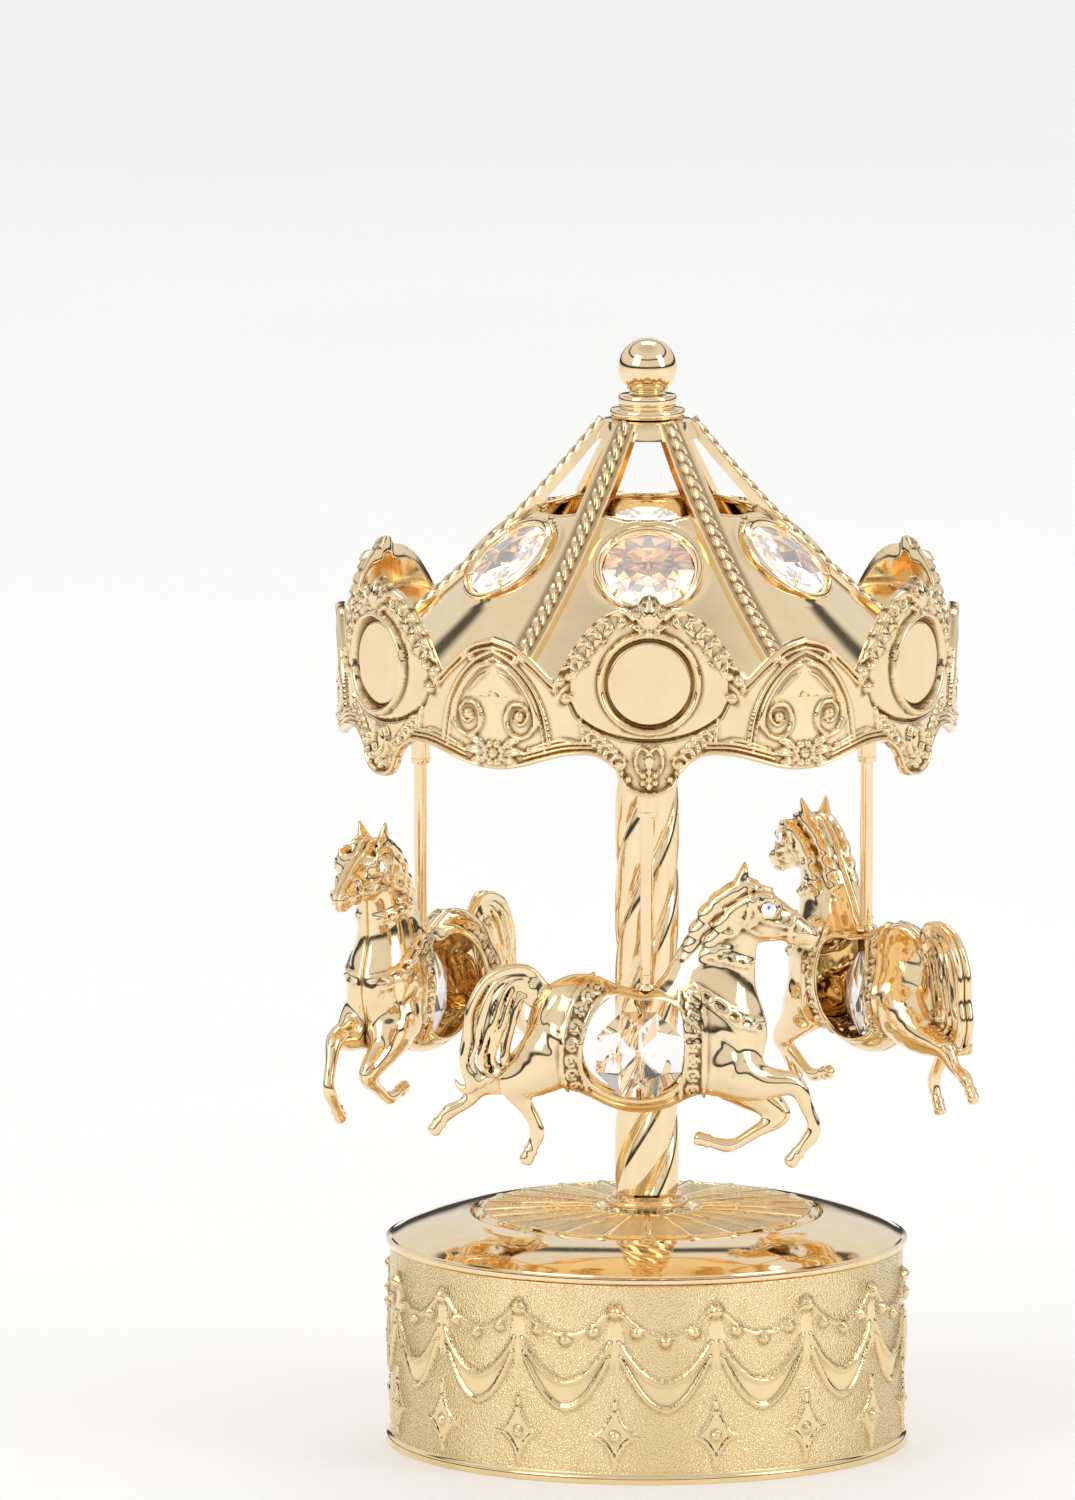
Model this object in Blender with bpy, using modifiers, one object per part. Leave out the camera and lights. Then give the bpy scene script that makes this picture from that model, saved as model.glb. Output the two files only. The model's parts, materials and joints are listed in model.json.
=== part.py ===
"""Carousel music box: a wind-up movement in a drum turns a pole with a canopy and three hanging horses.

Lengths are in millimetres and angles in degrees. MM turns a length into Blender's metres.
The carousel turns about +Z through the origin, and the drum stands on z = 0 with its front towards -Y.
"""

import math

import bmesh
import bpy
from mathutils import Matrix, Vector

MM = 0.001
GAP = 0.3
MERGE = 0.00002
ROUND_STEPS = 36

# Base drum and its top
DRUM_RADIUS = 40.0
DRUM_WALL = 1.3
DRUM_TOP = 30.6
RIM_RADIUS = 40.15
DISC_RADIUS = 26.8
BOTTOM_PLATE_LOW = 9.0
BEDPLATE_LOW = 10.4
BEDPLATE_TOP = 11.9

# Pole, rods and canopy
SPINDLE_RADIUS = 1.5
POLE_RADIUS = 4.75
POLE_LOBES = 4
POLE_LOBE_DEPTH = 0.35
POLE_PITCH = 43.0
POLE_LOW = 38.6
POLE_TOP = 113.0
ROD_CIRCLE = 39.3
ROD_RADIUS = 1.0
ROD_LOW = 76.6
ROD_TOP = 115.6
COLLAR_LOW = 102.4
CEILING_LOW = 113.3
CEILING_TOP = 114.5
VALANCE_RADIUS = 48.0
VALANCE_WALL = 1.1
CANOPY_SIDES = 6
ROOF_TOP_RADIUS = 6.2
ROOF_TOP = 158.1
ROOF_EDGE_RADIUS = 46.3
ROOF_WALL = 0.9
WINDOW_INNER = 8.0
WINDOW_OUTER = 17.0
RIB_HALF_WIDTH = 2.2
ROOF_CRYSTAL_CIRCLE = 24.4

# Crystals and horses
CRYSTAL_RADIUS = 7.0
HORSE_ANGLES = (-90.4, 30.0, 152.4)
HORSE_YAWS = (0.0, 2.5, -2.2)
WINDOW_CENTRE = (-1.2, 66.1)
HORSE_WINDOW_RADIUS = 7.5

# Movement
BARREL_RADIUS = 9.8
CROWN_RADII = (10.1, 12.6)
CROWN_TEETH = 24
PINION_TEETH = 8
CYLINDER_GEAR_TEETH = 30
GOVERNOR_PINION_TEETH = 10
WORM_WHEEL_TEETH = 16
CYLINDER_HEIGHT = 18.6
CYLINDER_RADIUS = 5.9
CYLINDER_SPAN = (14.8, 27.0)
COMB_TEETH = 18
SCREW_RADIUS = 0.9
GOVERNOR_Y = 8.0
WORM_PLACE = (31.5, 13.4)


def clear_scene():
    for obj in list(bpy.data.objects):
        bpy.data.objects.remove(obj, do_unlink=True)


def new_collection(name, hidden):
    collection = bpy.data.collections.new(name)
    bpy.context.scene.collection.children.link(collection)
    collection.hide_render = hidden
    return collection


def principled(name, colour, roughness, metallic=1.0, transmission=0.0):
    material = bpy.data.materials.new(name)
    material.use_nodes = True
    shader = material.node_tree.nodes["Principled BSDF"]
    shader.inputs["Base Color"].default_value = (*colour, 1.0)
    shader.inputs["Roughness"].default_value = roughness
    shader.inputs["Metallic"].default_value = metallic
    shader.inputs["Transmission Weight"].default_value = transmission
    return material


def empty(name, place=(0, 0, 0), turn=None, parent=None):
    """An empty on a joint's axis or at a horse's rod: its pieces are modelled about it."""
    obj = bpy.data.objects.new(name, None)
    obj.empty_display_size = 0.01
    PARTS.objects.link(obj)
    obj.parent = parent
    rotation = turn or Matrix.Identity(4)
    obj.matrix_local = Matrix.Translation(Vector(place) * MM) @ rotation
    return obj


def add(name, mesh, material, parent):
    obj = bpy.data.objects.new(name, mesh)
    PARTS.objects.link(obj)
    obj.parent = parent
    mesh.materials.append(material)
    return obj


def smooth(obj, angle=35):
    obj.data.shade_smooth()
    obj.data.set_sharp_from_angle(angle=math.radians(angle))
    return obj


def turned(name, profile, material, parent, steps=32, ring=False, turn=None):
    """A turned solid. The profile of (radius, height) runs down the outer side; a ring's closes on itself."""
    mesh = bpy.data.meshes.new(name)
    points = [(radius * MM, 0.0, height * MM) for radius, height in profile]
    edges = [(i, i + 1) for i in range(len(points) - 1)]
    if ring:
        edges.append((len(points) - 1, 0))
    mesh.from_pydata(points, edges, [])
    obj = add(name, mesh, material, parent)
    if turn:
        obj.matrix_local = turn
    screw = obj.modifiers.new("turn", "SCREW")
    screw.steps = steps
    screw.render_steps = steps
    screw.use_merge_vertices = True
    screw.merge_threshold = MERGE
    return obj


def tube_profile(inner, outer, low, high):
    return [(outer, high), (outer, low), (inner, low), (inner, high)]


def rod_profile(radius, low, high):
    return [(0, high), (radius, high), (radius, low), (0, low)]


def arc(centre, radius, start, end, count):
    """Points on a circle from the start angle to the end angle, both included."""
    angles = [math.radians(start + (end - start) * i / (count - 1)) for i in range(count)]
    return [(centre[0] + radius * math.cos(a), centre[1] + radius * math.sin(a)) for a in angles]


def circle(centre, radius, count):
    return arc(centre, radius, 0, 360 - 360 / count, count)


def plate(name, loops, low, high, material, parent, upright=False):
    """A flat plate from filled outlines, the first the outer one and the rest its holes.

    It lies from low to high along Z. An upright one has its outline in X and Z, and lies along -Y.
    """
    curve = bpy.data.curves.new(name, "CURVE")
    curve.dimensions = "2D"
    curve.fill_mode = "BOTH"
    curve.extrude = (high - low) / 2 * MM
    for loop in loops:
        spline = curve.splines.new("POLY")
        spline.points.add(len(loop) - 1)
        for point, (x, y) in zip(spline.points, loop):
            point.co = (x * MM, y * MM, 0.0, 1.0)
        spline.use_cyclic_u = True
    shape = bpy.data.objects.new(name + "_outline", curve)
    PARTS.objects.link(shape)
    bpy.context.view_layer.update()
    graph = bpy.context.evaluated_depsgraph_get()
    mesh = bpy.data.meshes.new_from_object(shape.evaluated_get(graph))
    bpy.data.objects.remove(shape, do_unlink=True)
    mesh.transform(Matrix.Translation((0, 0, (low + high) / 2 * MM)))
    if upright:
        mesh.transform(Matrix.Rotation(math.radians(90), 4, "X"))
    weld(mesh)
    mesh.materials.clear()
    return add(name, mesh, material, parent)


def weld(mesh):
    work = bmesh.new()
    work.from_mesh(mesh)
    bmesh.ops.remove_doubles(work, verts=work.verts, dist=MERGE)
    bmesh.ops.recalc_face_normals(work, faces=work.faces)
    work.to_mesh(mesh)
    work.free()


def loft(name, rings, material, parent):
    """A solid through rings of points with one count, where the last ring joins the first."""
    work = bmesh.new()
    rows = [[work.verts.new(Vector(point) * MM) for point in ring] for ring in rings]
    for row, following in zip(rows, rows[1:] + rows[:1]):
        for i in range(len(row)):
            j = (i + 1) % len(row)
            work.faces.new((row[i], row[j], following[j], following[i]))
    bmesh.ops.recalc_face_normals(work, faces=work.faces)
    mesh = bpy.data.meshes.new(name)
    work.to_mesh(mesh)
    work.free()
    return add(name, mesh, material, parent)


def combine(obj, helpers, operation):
    """Joins helpers to a solid or cuts them from it, and keeps them out of the render."""
    for helper in helpers:
        modifier = obj.modifiers.new(helper.name, "BOOLEAN")
        modifier.operation = operation
        modifier.object = helper
        PARTS.objects.unlink(helper)
        CUTTERS.objects.link(helper)
        helper.hide_render = True
        helper.display_type = "WIRE"
    return obj


def between(points, at):
    """The height at a distance along points of (distance, height), in straight steps."""
    for (left, low), (right, high) in zip(points, points[1:]):
        if at <= right:
            return low + (high - low) * (at - left) / (right - left)
    return points[-1][1]


def direction(angle, radius=1.0):
    return (radius * math.cos(math.radians(angle)), radius * math.sin(math.radians(angle)))


def gear_outline(teeth, root, tip, root_share, tip_share, phase=0.0):
    """A gear's outline: each tooth is a trapezium whose widths are shares of the pitch."""
    pitch = 360 / teeth
    points = []
    for tooth in range(teeth):
        middle = tooth * pitch + phase
        points.append(direction(middle - root_share * pitch / 2, root))
        points.append(direction(middle - tip_share * pitch / 2, tip))
        points.append(direction(middle + tip_share * pitch / 2, tip))
        points.append(direction(middle + root_share * pitch / 2, root))
    return points


def make_base():
    drum = [
        (DRUM_RADIUS, DRUM_TOP),
        (DRUM_RADIUS, 1.6),
        (RIM_RADIUS, 1.0),
        (RIM_RADIUS, 0.0),
        (37.4, 0.0),
        (37.4, BOTTOM_PLATE_LOW - GAP),
        (DRUM_RADIUS - DRUM_WALL, BOTTOM_PLATE_LOW - GAP),
        (DRUM_RADIUS - DRUM_WALL, DRUM_TOP),
    ]
    smooth(turned("base_drum", drum, STAMPED, None, steps=ROUND_STEPS, ring=True))
    cover = [
        (27.2, 35.3),
        (33.5, 34.2),
        (40.1, 31.6),
        (40.1, 30.9),
        (38.4, 30.9),
        (28.4, 33.6),
        (28.4, 31.2),
        (3.2, 31.2),
        (3.2, 32.2),
        (27.2, 32.2),
    ]
    smooth(turned("top_cover", cover, POLISHED, None, steps=ROUND_STEPS, ring=True))


def screw_with_head(name, place, shank, head_radius, head, parent, head_up):
    """A screw: its shank spans shank, and its head spans head, above it or below it."""
    top, low = max(shank[1], head[1]), min(shank[0], head[0])
    if head_up:
        profile = [(head_radius, top), (head_radius, head[0]), (SCREW_RADIUS, head[0]), (SCREW_RADIUS, low)]
    else:
        profile = [(SCREW_RADIUS, top), (SCREW_RADIUS, head[1]), (head_radius, head[1]), (head_radius, low)]
    profile = [(0, top), *profile, (0, low)]
    turn = Matrix.Translation(Vector((*place, 0)) * MM)
    return turned(name, profile, STEEL, parent, steps=16, turn=turn)


def make_chassis():
    """The bottom plate, the movement's bedplate on it, the comb and the bearings."""
    bottom_screws = ((-10.0, -14.0), (28.0, 9.5))
    holes = [circle(place, 1.3, 12) for place in bottom_screws]
    outline = circle((0, 0), 38.2, ROUND_STEPS)
    arbor_hole = circle((0, 0), 2.3, 16)
    loops = [outline, arbor_hole, *holes]
    plate("bottom_plate", loops, BOTTOM_PLATE_LOW, BOTTOM_PLATE_LOW + 1.0, STEEL, None)
    bed_outline = [(-14, -18), (31, -18), (35.5, -12), (35.5, 11), (31, 14), (-14, 14)]
    bed = plate("bedplate", [bed_outline, arbor_hole, *holes], BEDPLATE_LOW, BEDPLATE_TOP, IRON, None)
    pad_outline = [(12, -17.6), (28.5, -17.6), (28.5, -14.2), (12, -14.2)]
    pad = plate("comb_pad", [pad_outline], BEDPLATE_TOP - 0.5, 17.6, IRON, None)
    comb_screws = ((16.0, -15.9), (25.5, -15.9))
    sockets = []
    for number, place in enumerate(comb_screws, 1):
        turn = Matrix.Translation(Vector((*place, 0)) * MM)
        profile = rod_profile(1.2, 13.4, 18.5)
        sockets.append(turned(f"comb_socket_{number}", profile, IRON, None, steps=12, turn=turn))
    combine(bed, [pad], "UNION")
    combine(bed, sockets, "DIFFERENCE")
    for number, place in enumerate(bottom_screws, 1):
        screw_with_head(f"bottom_screw_{number}", place, (7.6, BEDPLATE_TOP), 2.0, (7.4, 8.7), None, False)
    for number, place in enumerate(comb_screws, 1):
        screw_with_head(f"comb_screw_{number}", place, (14.0, 19.4), 1.7, (19.3, 20.2), None, True)
    make_comb(comb_screws)
    bearing_outline = [(-2.6, 12.2), (2.6, 12.2), (2.6, 20.6), (-2.6, 20.6)]
    bearing_hole = circle((0, CYLINDER_HEIGHT), 1.2, 12)
    across_x = Matrix.Rotation(math.radians(90), 4, "Z")
    loops = [bearing_outline, bearing_hole]
    bearing = plate("cylinder_bearing", loops, -14.2, -13.2, BRASS, None, upright=True)
    bearing.matrix_local = across_x.inverted()
    bracket_outline = [(-3, 12.2), (14.6, 12.2), (14.6, 16.5), (10.6, 22.0), (-3, 22.0)]
    holes = [bearing_hole, circle((GOVERNOR_Y, CYLINDER_HEIGHT), 1.0, 12)]
    bracket = plate("governor_bracket", [bracket_outline, *holes], 34.0, 35.0, BRASS, None, upright=True)
    foot_outline = [(29.5, 11.9), (34.5, 11.9), (34.5, 14.8), (29.5, 14.8)]
    foot = plate("governor_foot", [foot_outline], 12.2, 13.4, BRASS, None)
    bracket.data.transform(across_x)
    combine(bracket, [foot], "UNION")


def make_comb(screws):
    """The tuned comb: its teeth point at the pin cylinder and grow longer towards one end."""
    low, high = CYLINDER_SPAN
    pitch = (high - low) / COMB_TEETH
    tip = -(CYLINDER_RADIUS + 0.5 + GAP)
    outline = [(high + 0.2, -14.0), (28.5, -14.0), (28.5, -17.4)]
    outline += [(12.0, -17.4), (12.0, -14.0), (low - 0.2, -14.0)]
    for tooth in range(COMB_TEETH):
        left = low + tooth * pitch + pitch * 0.22
        right = low + (tooth + 1) * pitch - pitch * 0.22
        root = -13.2 + 2.6 * tooth / COMB_TEETH
        outline += [(left, root), (left, tip), (right, tip), (right, root)]
    holes = [circle(place, 1.2, 12) for place in screws]
    plate("comb", [outline, *holes], 18.2, 19.0, SPRING, None)


def make_winder(body):
    """The arbor that the mainspring winds on, with its ratchet collar, and the wing key below."""
    arbor = [(1.7, 22.4), (1.7, 13.0), (4.6, 13.0), (4.6, 12.3), (1.7, 12.3), (1.7, 3.0)]
    turned("key_arbor", [(0, 22.4), *arbor, (0, 3.0)], STEEL, body, steps=20)
    wing_right = [(0, 3.4), *arc((8.0, 4.9), 3.2, -80, 80, 7), (0, 6.4)]
    wing_left = [(-x, z) for x, z in reversed(wing_right[1:-1])]
    wings = plate("winding_key", [wing_right + wing_left], -0.8, 0.8, BRASS, body, upright=True)
    hub = turned("key_hub", rod_profile(2.9, 1.4, 8.3), BRASS, body, steps=20)
    bore = turned("key_bore", rod_profile(2.0, 2.6, 9.0), BRASS, body, steps=20)
    combine(wings, [hub], "UNION")
    combine(wings, [bore], "DIFFERENCE")


def make_barrel(body):
    """The spring barrel on the spindle, its crown gear and the mainspring inside it."""
    barrel = [
        (0, 23.8),
        (BARREL_RADIUS, 23.8),
        (BARREL_RADIUS, 13.3),
        (2.3, 13.3),
        (2.3, 14.1),
        (9.0, 14.1),
        (9.0, 23.0),
        (0, 23.0),
    ]
    smooth(turned("spring_barrel", barrel, BRASS, body, steps=28))
    rings = []
    inner, outer = CROWN_RADII
    steps = 4 * CROWN_TEETH
    for step in range(steps):
        tooth, corner = divmod(step, 4)
        offsets = ((-3.4, 14.3), (-1.7, 15.1), (1.7, 15.1), (3.4, 14.3))
        turn, top = offsets[corner]
        angle = tooth * 360 / CROWN_TEETH + turn
        section = [(outer, top), (outer, 13.3), (inner, 13.3), (inner, top)]
        rings.append([(*direction(angle, radius), height) for radius, height in section])
    loft("crown_gear", rings, BRASS, body)
    make_mainspring(body)


def make_mainspring(body):
    turns, inner, outer, thickness, per_turn = 4, 3.0, 8.3, 0.35, 12
    count = turns * per_turn
    outside, inside = [], []
    for i in range(count + 1):
        radius = inner + (outer - inner) * i / count
        outside.append(direction(360 * i / per_turn, radius + thickness / 2))
        inside.append(direction(360 * i / per_turn, radius - thickness / 2))
    plate("mainspring", [outside + inside[::-1]], 14.7, 22.4, SPRING, body)


def make_cylinder(body):
    """The pin cylinder on its axle, with the pinion that the crown gear turns and the gear to the governor.

    The body's own Z lies along +X, so that the cylinder is modelled upright.
    """
    turned("cylinder_axle", rod_profile(0.9, 10.2, 34.8), STEEL, body, steps=12)
    pinion = gear_outline(PINION_TEETH, 3.0, 4.1, 0.42, 0.16, phase=180 / PINION_TEETH)
    plate("drive_pinion", [pinion, circle((0, 0), 1.2, 12)], 10.6, 12.4, BRASS, body)
    gear = gear_outline(CYLINDER_GEAR_TEETH, 5.5, 6.3, 0.45, 0.22, phase=90)
    plate("governor_gear", [gear, circle((0, 0), 1.2, 12)], 28.0, 29.0, BRASS, body)
    low, high = CYLINDER_SPAN
    sides, rows = 20, COMB_TEETH
    rings = []
    for row in range(rows + 1):
        height = low + (high - low) * row / rows
        rings.append([(*direction(360 * side / sides, CYLINDER_RADIUS), height) for side in range(sides)])
    for height in (high, low):
        rings.append([(*direction(360 * side / sides, 1.2), height) for side in range(sides)])
    cylinder = loft("pin_cylinder", rings, BRASS, body)
    raise_pins(cylinder.data, sides, rows)


def raise_pins(mesh, sides, rows):
    """Turns some faces of the cylinder's side into pins, spread as a tune would be."""
    work = bmesh.new()
    work.from_mesh(mesh)
    work.faces.ensure_lookup_table()
    side_faces = work.faces[: sides * rows]
    chosen = [face for i, face in enumerate(side_faces) if (i * 7 + i // sides * 5) % 13 == 0]
    bmesh.ops.inset_individual(work, faces=chosen, thickness=0.18 * MM)
    for face in bmesh.ops.extrude_discrete_faces(work, faces=chosen)["faces"]:
        for vert in face.verts:
            vert.co += face.normal * 0.5 * MM
    work.to_mesh(mesh)
    work.free()


def make_governor(wheel_body, fan_body):
    """The wheel that the cylinder's gear turns, and the worm with its air brake."""
    shaft = turned("governor_wheel", rod_profile(0.7, 27.4, 34.8), STEEL, wheel_body, steps=12)
    phase = -90 + 180 / GOVERNOR_PINION_TEETH
    pinion = gear_outline(GOVERNOR_PINION_TEETH, 1.3, 2.15, 0.42, 0.18, phase=phase)
    pinion = plate("governor_pinion", [pinion], 28.0, 29.0, BRASS, wheel_body)
    wheel = gear_outline(WORM_WHEEL_TEETH, 3.3, 3.9, 0.5, 0.25)
    wheel = plate("worm_wheel", [wheel], 31.0, 32.0, BRASS, wheel_body)
    combine(shaft, [pinion, wheel], "UNION")
    worm = [(0, 27.6), (0.6, 27.6), (0.6, 22.4)]
    for thread in range(4):
        height = 21.4 - thread * 1.4
        worm += [(1.2, height), (0.8, height - 0.7)]
    worm += [(0.6, 15.6), (0.6, 13.8), (0, 13.8)]
    fan = turned("governor_fan", worm, STEEL, fan_body, steps=12)
    blades = []
    for number in range(2):
        outline = [(-3.1, 23.6), (3.1, 23.6), (3.1, 26.8), (-3.1, 26.8)]
        blade = plate(f"fan_blade_{number + 1}", [outline], -0.15, 0.15, BRASS, fan_body, upright=True)
        blade.data.transform(Matrix.Rotation(math.radians(90 * number + 20), 4, "Z"))
        blades.append(blade)
    combine(fan, blades, "UNION")


def make_pole(body):
    """The spindle from the barrel up, and what it carries: disc, foot ring, pole, ceiling plate and nut."""
    spindle = [(SPINDLE_RADIUS, 118.4), (SPINDLE_RADIUS, 32.5), (2.4, 32.5), (2.4, 24.1)]
    turned("spindle", [(0, 118.4), *spindle, (0, 24.1)], STEEL, body, steps=20)
    bore = SPINDLE_RADIUS + GAP
    disc = [
        (bore, 36.2),
        (6.5, 36.2),
        (25.9, 35.7),
        (DISC_RADIUS, 35.3),
        (DISC_RADIUS, 34.2),
        (4.5, 34.2),
        (4.5, 32.8),
        (bore, 32.8),
    ]
    smooth(turned("turntable_disc", disc, STAMPED, body, steps=ROUND_STEPS, ring=True))
    foot = [(bore, 38.3), (5.4, 38.3), (5.9, 37.6), (6.2, 37.1), (6.2, 36.5), (bore, 36.5)]
    smooth(turned("pole_foot_ring", foot, POLISHED, body, steps=20, ring=True))
    make_twisted_pole(body)
    holes = [circle(direction(angle, ROD_CIRCLE), ROD_RADIUS + GAP, 12) for angle in HORSE_ANGLES]
    loops = [circle((0, 0), 46.3, ROUND_STEPS), circle((0, 0), bore, 16), *holes]
    plate("ceiling_plate", loops, CEILING_LOW, CEILING_TOP, POLISHED, body)
    plate("pole_nut", [circle((0, 0), 3.4, 6), circle((0, 0), bore, 16)], 114.8, 117.4, STEEL, body)


def make_twisted_pole(body):
    """A tube whose lobes wind up to the right."""
    sides, levels, bore = 24, 16, 2.0
    rings = []
    for level in range(levels + 1):
        height = POLE_LOW + (POLE_TOP - POLE_LOW) * level / levels
        twist = 360 * height / POLE_PITCH
        ring = []
        for side in range(sides):
            angle = 360 * side / sides
            wave = math.cos(math.radians(POLE_LOBES * (angle - twist)))
            ring.append((*direction(angle, POLE_RADIUS + POLE_LOBE_DEPTH * wave), height))
        rings.append(ring)
    for height in (POLE_TOP, POLE_LOW):
        rings.append([(*direction(360 * side / sides, bore), height) for side in range(sides)])
    smooth(loft("pole", rings, POLISHED, body), 60)


def roof_height(radius):
    """The roof's outer face: steep under the finial, and flatter towards the valance."""
    run = radius - ROOF_TOP_RADIUS
    return ROOF_TOP - 1.25 * run + 0.0079 * run * run


def make_roof(body):
    radii = (ROOF_TOP_RADIUS, 14, 28, ROOF_EDGE_RADIUS)
    profile = [(2.0, ROOF_TOP)]
    profile += [(radius, roof_height(radius)) for radius in radii]
    profile += [(radius - 0.5, roof_height(radius) - ROOF_WALL) for radius in reversed(radii)]
    profile += [(2.0, ROOF_TOP - ROOF_WALL)]
    roof = smooth(turned("canopy_roof", profile, POLISHED, body, steps=ROUND_STEPS, ring=True), 50)
    cutters = []
    for side in range(CANOPY_SIDES):
        middle = -90 + side * 360 / CANOPY_SIDES
        opening = []
        for radius, sign in ((WINDOW_OUTER, 1), (WINDOW_INNER, -1)):
            half = 30 - math.degrees(math.asin(RIB_HALF_WIDTH / radius))
            opening += arc((0, 0), radius, middle - half * sign, middle + half * sign, 5)
        cutters.append(plate(f"roof_window_{side + 1}", [opening], 140, 165, POLISHED, body))
        profile = rod_profile(CRYSTAL_RADIUS + 0.5, -4, 4)
        turn = crystal_place(middle)
        cutters.append(turned(f"roof_hole_{side + 1}", profile, POLISHED, body, steps=16, turn=turn))
    combine(roof, cutters, "DIFFERENCE")
    for side in range(CANOPY_SIDES):
        turn = crystal_place(-90 + side * 360 / CANOPY_SIDES)
        turned(f"roof_crystal_{side + 1}", gem_profile(), CRYSTAL, body, steps=12, turn=turn)


def crystal_place(angle):
    """The place of a roof crystal: on the slope, facing out."""
    slope = math.atan(1.25 - 0.0158 * (ROOF_CRYSTAL_CIRCLE - ROOF_TOP_RADIUS))
    place = Vector((*direction(angle, ROOF_CRYSTAL_CIRCLE), roof_height(ROOF_CRYSTAL_CIRCLE) - 0.4))
    facing = Matrix.Rotation(math.radians(angle), 4, "Z") @ Matrix.Rotation(slope, 4, "Y")
    return Matrix.Translation(place * MM) @ facing


def gem_profile():
    return [(0, 2.6), (4.0, 2.6), (CRYSTAL_RADIUS, 0.5), (CRYSTAL_RADIUS, -0.1), (1.2, -3.4), (0, -3.4)]


def make_valance(body):
    """The stamped band round the canopy: six medallions, six small arches, and scallops between."""
    top = [(0, 137.2), (3, 135.2), (8, 133.2), (11, 130.2), (13.2, 126.4), (15, 123.6)]
    top += [(18, 126.5), (21.5, 129.2), (25.2, 130.0)]
    bottom = [(0, 106.4), (3.6, 107.4), (4.8, 110.0), (8.9, 112.6)]
    bottom += [(13.5, 112.2), (20, 110.6), (25.2, 109.9)]
    rings = []
    steps = 72
    for step in range(steps):
        angle = 360 * step / steps
        from_medallion = abs((angle + 90 + 30) % 60 - 30)
        along = math.radians(from_medallion) * VALANCE_RADIUS
        high, low = between(top, along), between(bottom, along)
        section = [
            (VALANCE_RADIUS, high),
            (VALANCE_RADIUS - 0.3, low),
            (VALANCE_RADIUS - VALANCE_WALL, low),
            (VALANCE_RADIUS - VALANCE_WALL, high),
        ]
        rings.append([(*direction(angle, radius), height) for radius, height in section])
    smooth(loft("valance", rings, STAMPED, body), 50)


def make_finial(body):
    collar = [
        (1.6, 162.0),
        (4.2, 162.0),
        (4.55, 161.6),
        (4.55, 160.6),
        (4.0, 160.2),
        (5.4, 159.9),
        (5.8, 159.5),
        (5.8, 158.9),
        (5.4, 158.5),
        (1.6, 158.5),
    ]
    smooth(turned("finial_collar", collar, POLISHED, body, steps=20, ring=True))
    ball = [(radius, height) for radius, height in arc((0, 166.1), 4.5, 90, -53, 9)]
    ball[0] = (0, 170.6)
    ball += [(2.7, 162.3), (1.2, 162.3), (1.2, 155.5), (0, 155.5)]
    smooth(turned("finial_ball", ball, POLISHED, body, steps=20))


def limb(points, widths):
    """The outline of a leg along its bones, with its width at each joint."""
    left, right = [], []
    for i, (point, width) in enumerate(zip(points, widths)):
        before = Vector(points[max(i - 1, 0)])
        after = Vector(points[min(i + 1, len(points) - 1)])
        along = (after - before).normalized()
        side = Vector((-along.y, along.x)) * width / 2
        left.append(tuple(Vector(point) + side))
        right.append(tuple(Vector(point) - side))
    return left + right[::-1]


# A horse's outlines: x forward from its rod, and height above the table
TORSO = [(5.0, 78.3), (1.6, 76.2), (-3.0, 76.0), (-8.3, 77.9), (-12.1, 78.5), (-17.1, 76.6), (-18.0, 71.7)]
TORSO += [(-17.6, 65.2), (-14.0, 61.2), (-8.0, 58.2), (-0.6, 57.2), (6.5, 58.0), (13.0, 59.8), (17.5, 63.7)]
TORSO += [(18.3, 66.9), (17.7, 71.7), (15.0, 76.0)]
NECK = [(5.0, 76.5), (4.8, 84.0), (8.6, 89.4), (11.0, 92.4), (14.0, 93.0), (14.9, 95.4), (16.3, 92.6)]
NECK += [(21.3, 88.6), (25.9, 85.6), (25.4, 82.6), (24.0, 81.8), (18.5, 83.2), (16.0, 80.0)]
NECK += [(17.0, 74.0), (12.0, 70.0)]
TAIL = [(-15.5, 76.3), (-19.0, 79.3), (-21.6, 80.1), (-24.8, 77.0), (-27.5, 73.3), (-29.0, 69.7)]
TAIL += [(-29.3, 63.7), (-24.5, 63.0), (-22.8, 69.0), (-20.6, 72.5), (-15.5, 71.5)]

# Its legs: the points along the bones, and the width at each
HIND_WIDTHS = (7.0, 5.0, 3.0, 2.4, 3.0)
FORE_WIDTHS = (5.6, 3.6, 2.8, 2.4, 3.0)
NEAR_HIND = ([(-14.0, 66.0), (-19.5, 62.6), (-18.6, 57.6), (-16.2, 54.6), (-18.4, 49.6)], HIND_WIDTHS)
FAR_HIND = ([(-14.0, 66.0), (-21.5, 62.5), (-26.2, 58.4), (-29.0, 56.8), (-31.6, 54.6)], HIND_WIDTHS)
NEAR_FORE = ([(12.0, 63.5), (22.6, 61.8), (24.6, 57.6), (25.4, 54.6), (21.4, 49.4)], FORE_WIDTHS)
FAR_FORE = ([(12.0, 62.0), (20.0, 56.0), (13.6, 51.6), (11.0, 51.2), (7.0, 52.2)], FORE_WIDTHS)


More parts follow.
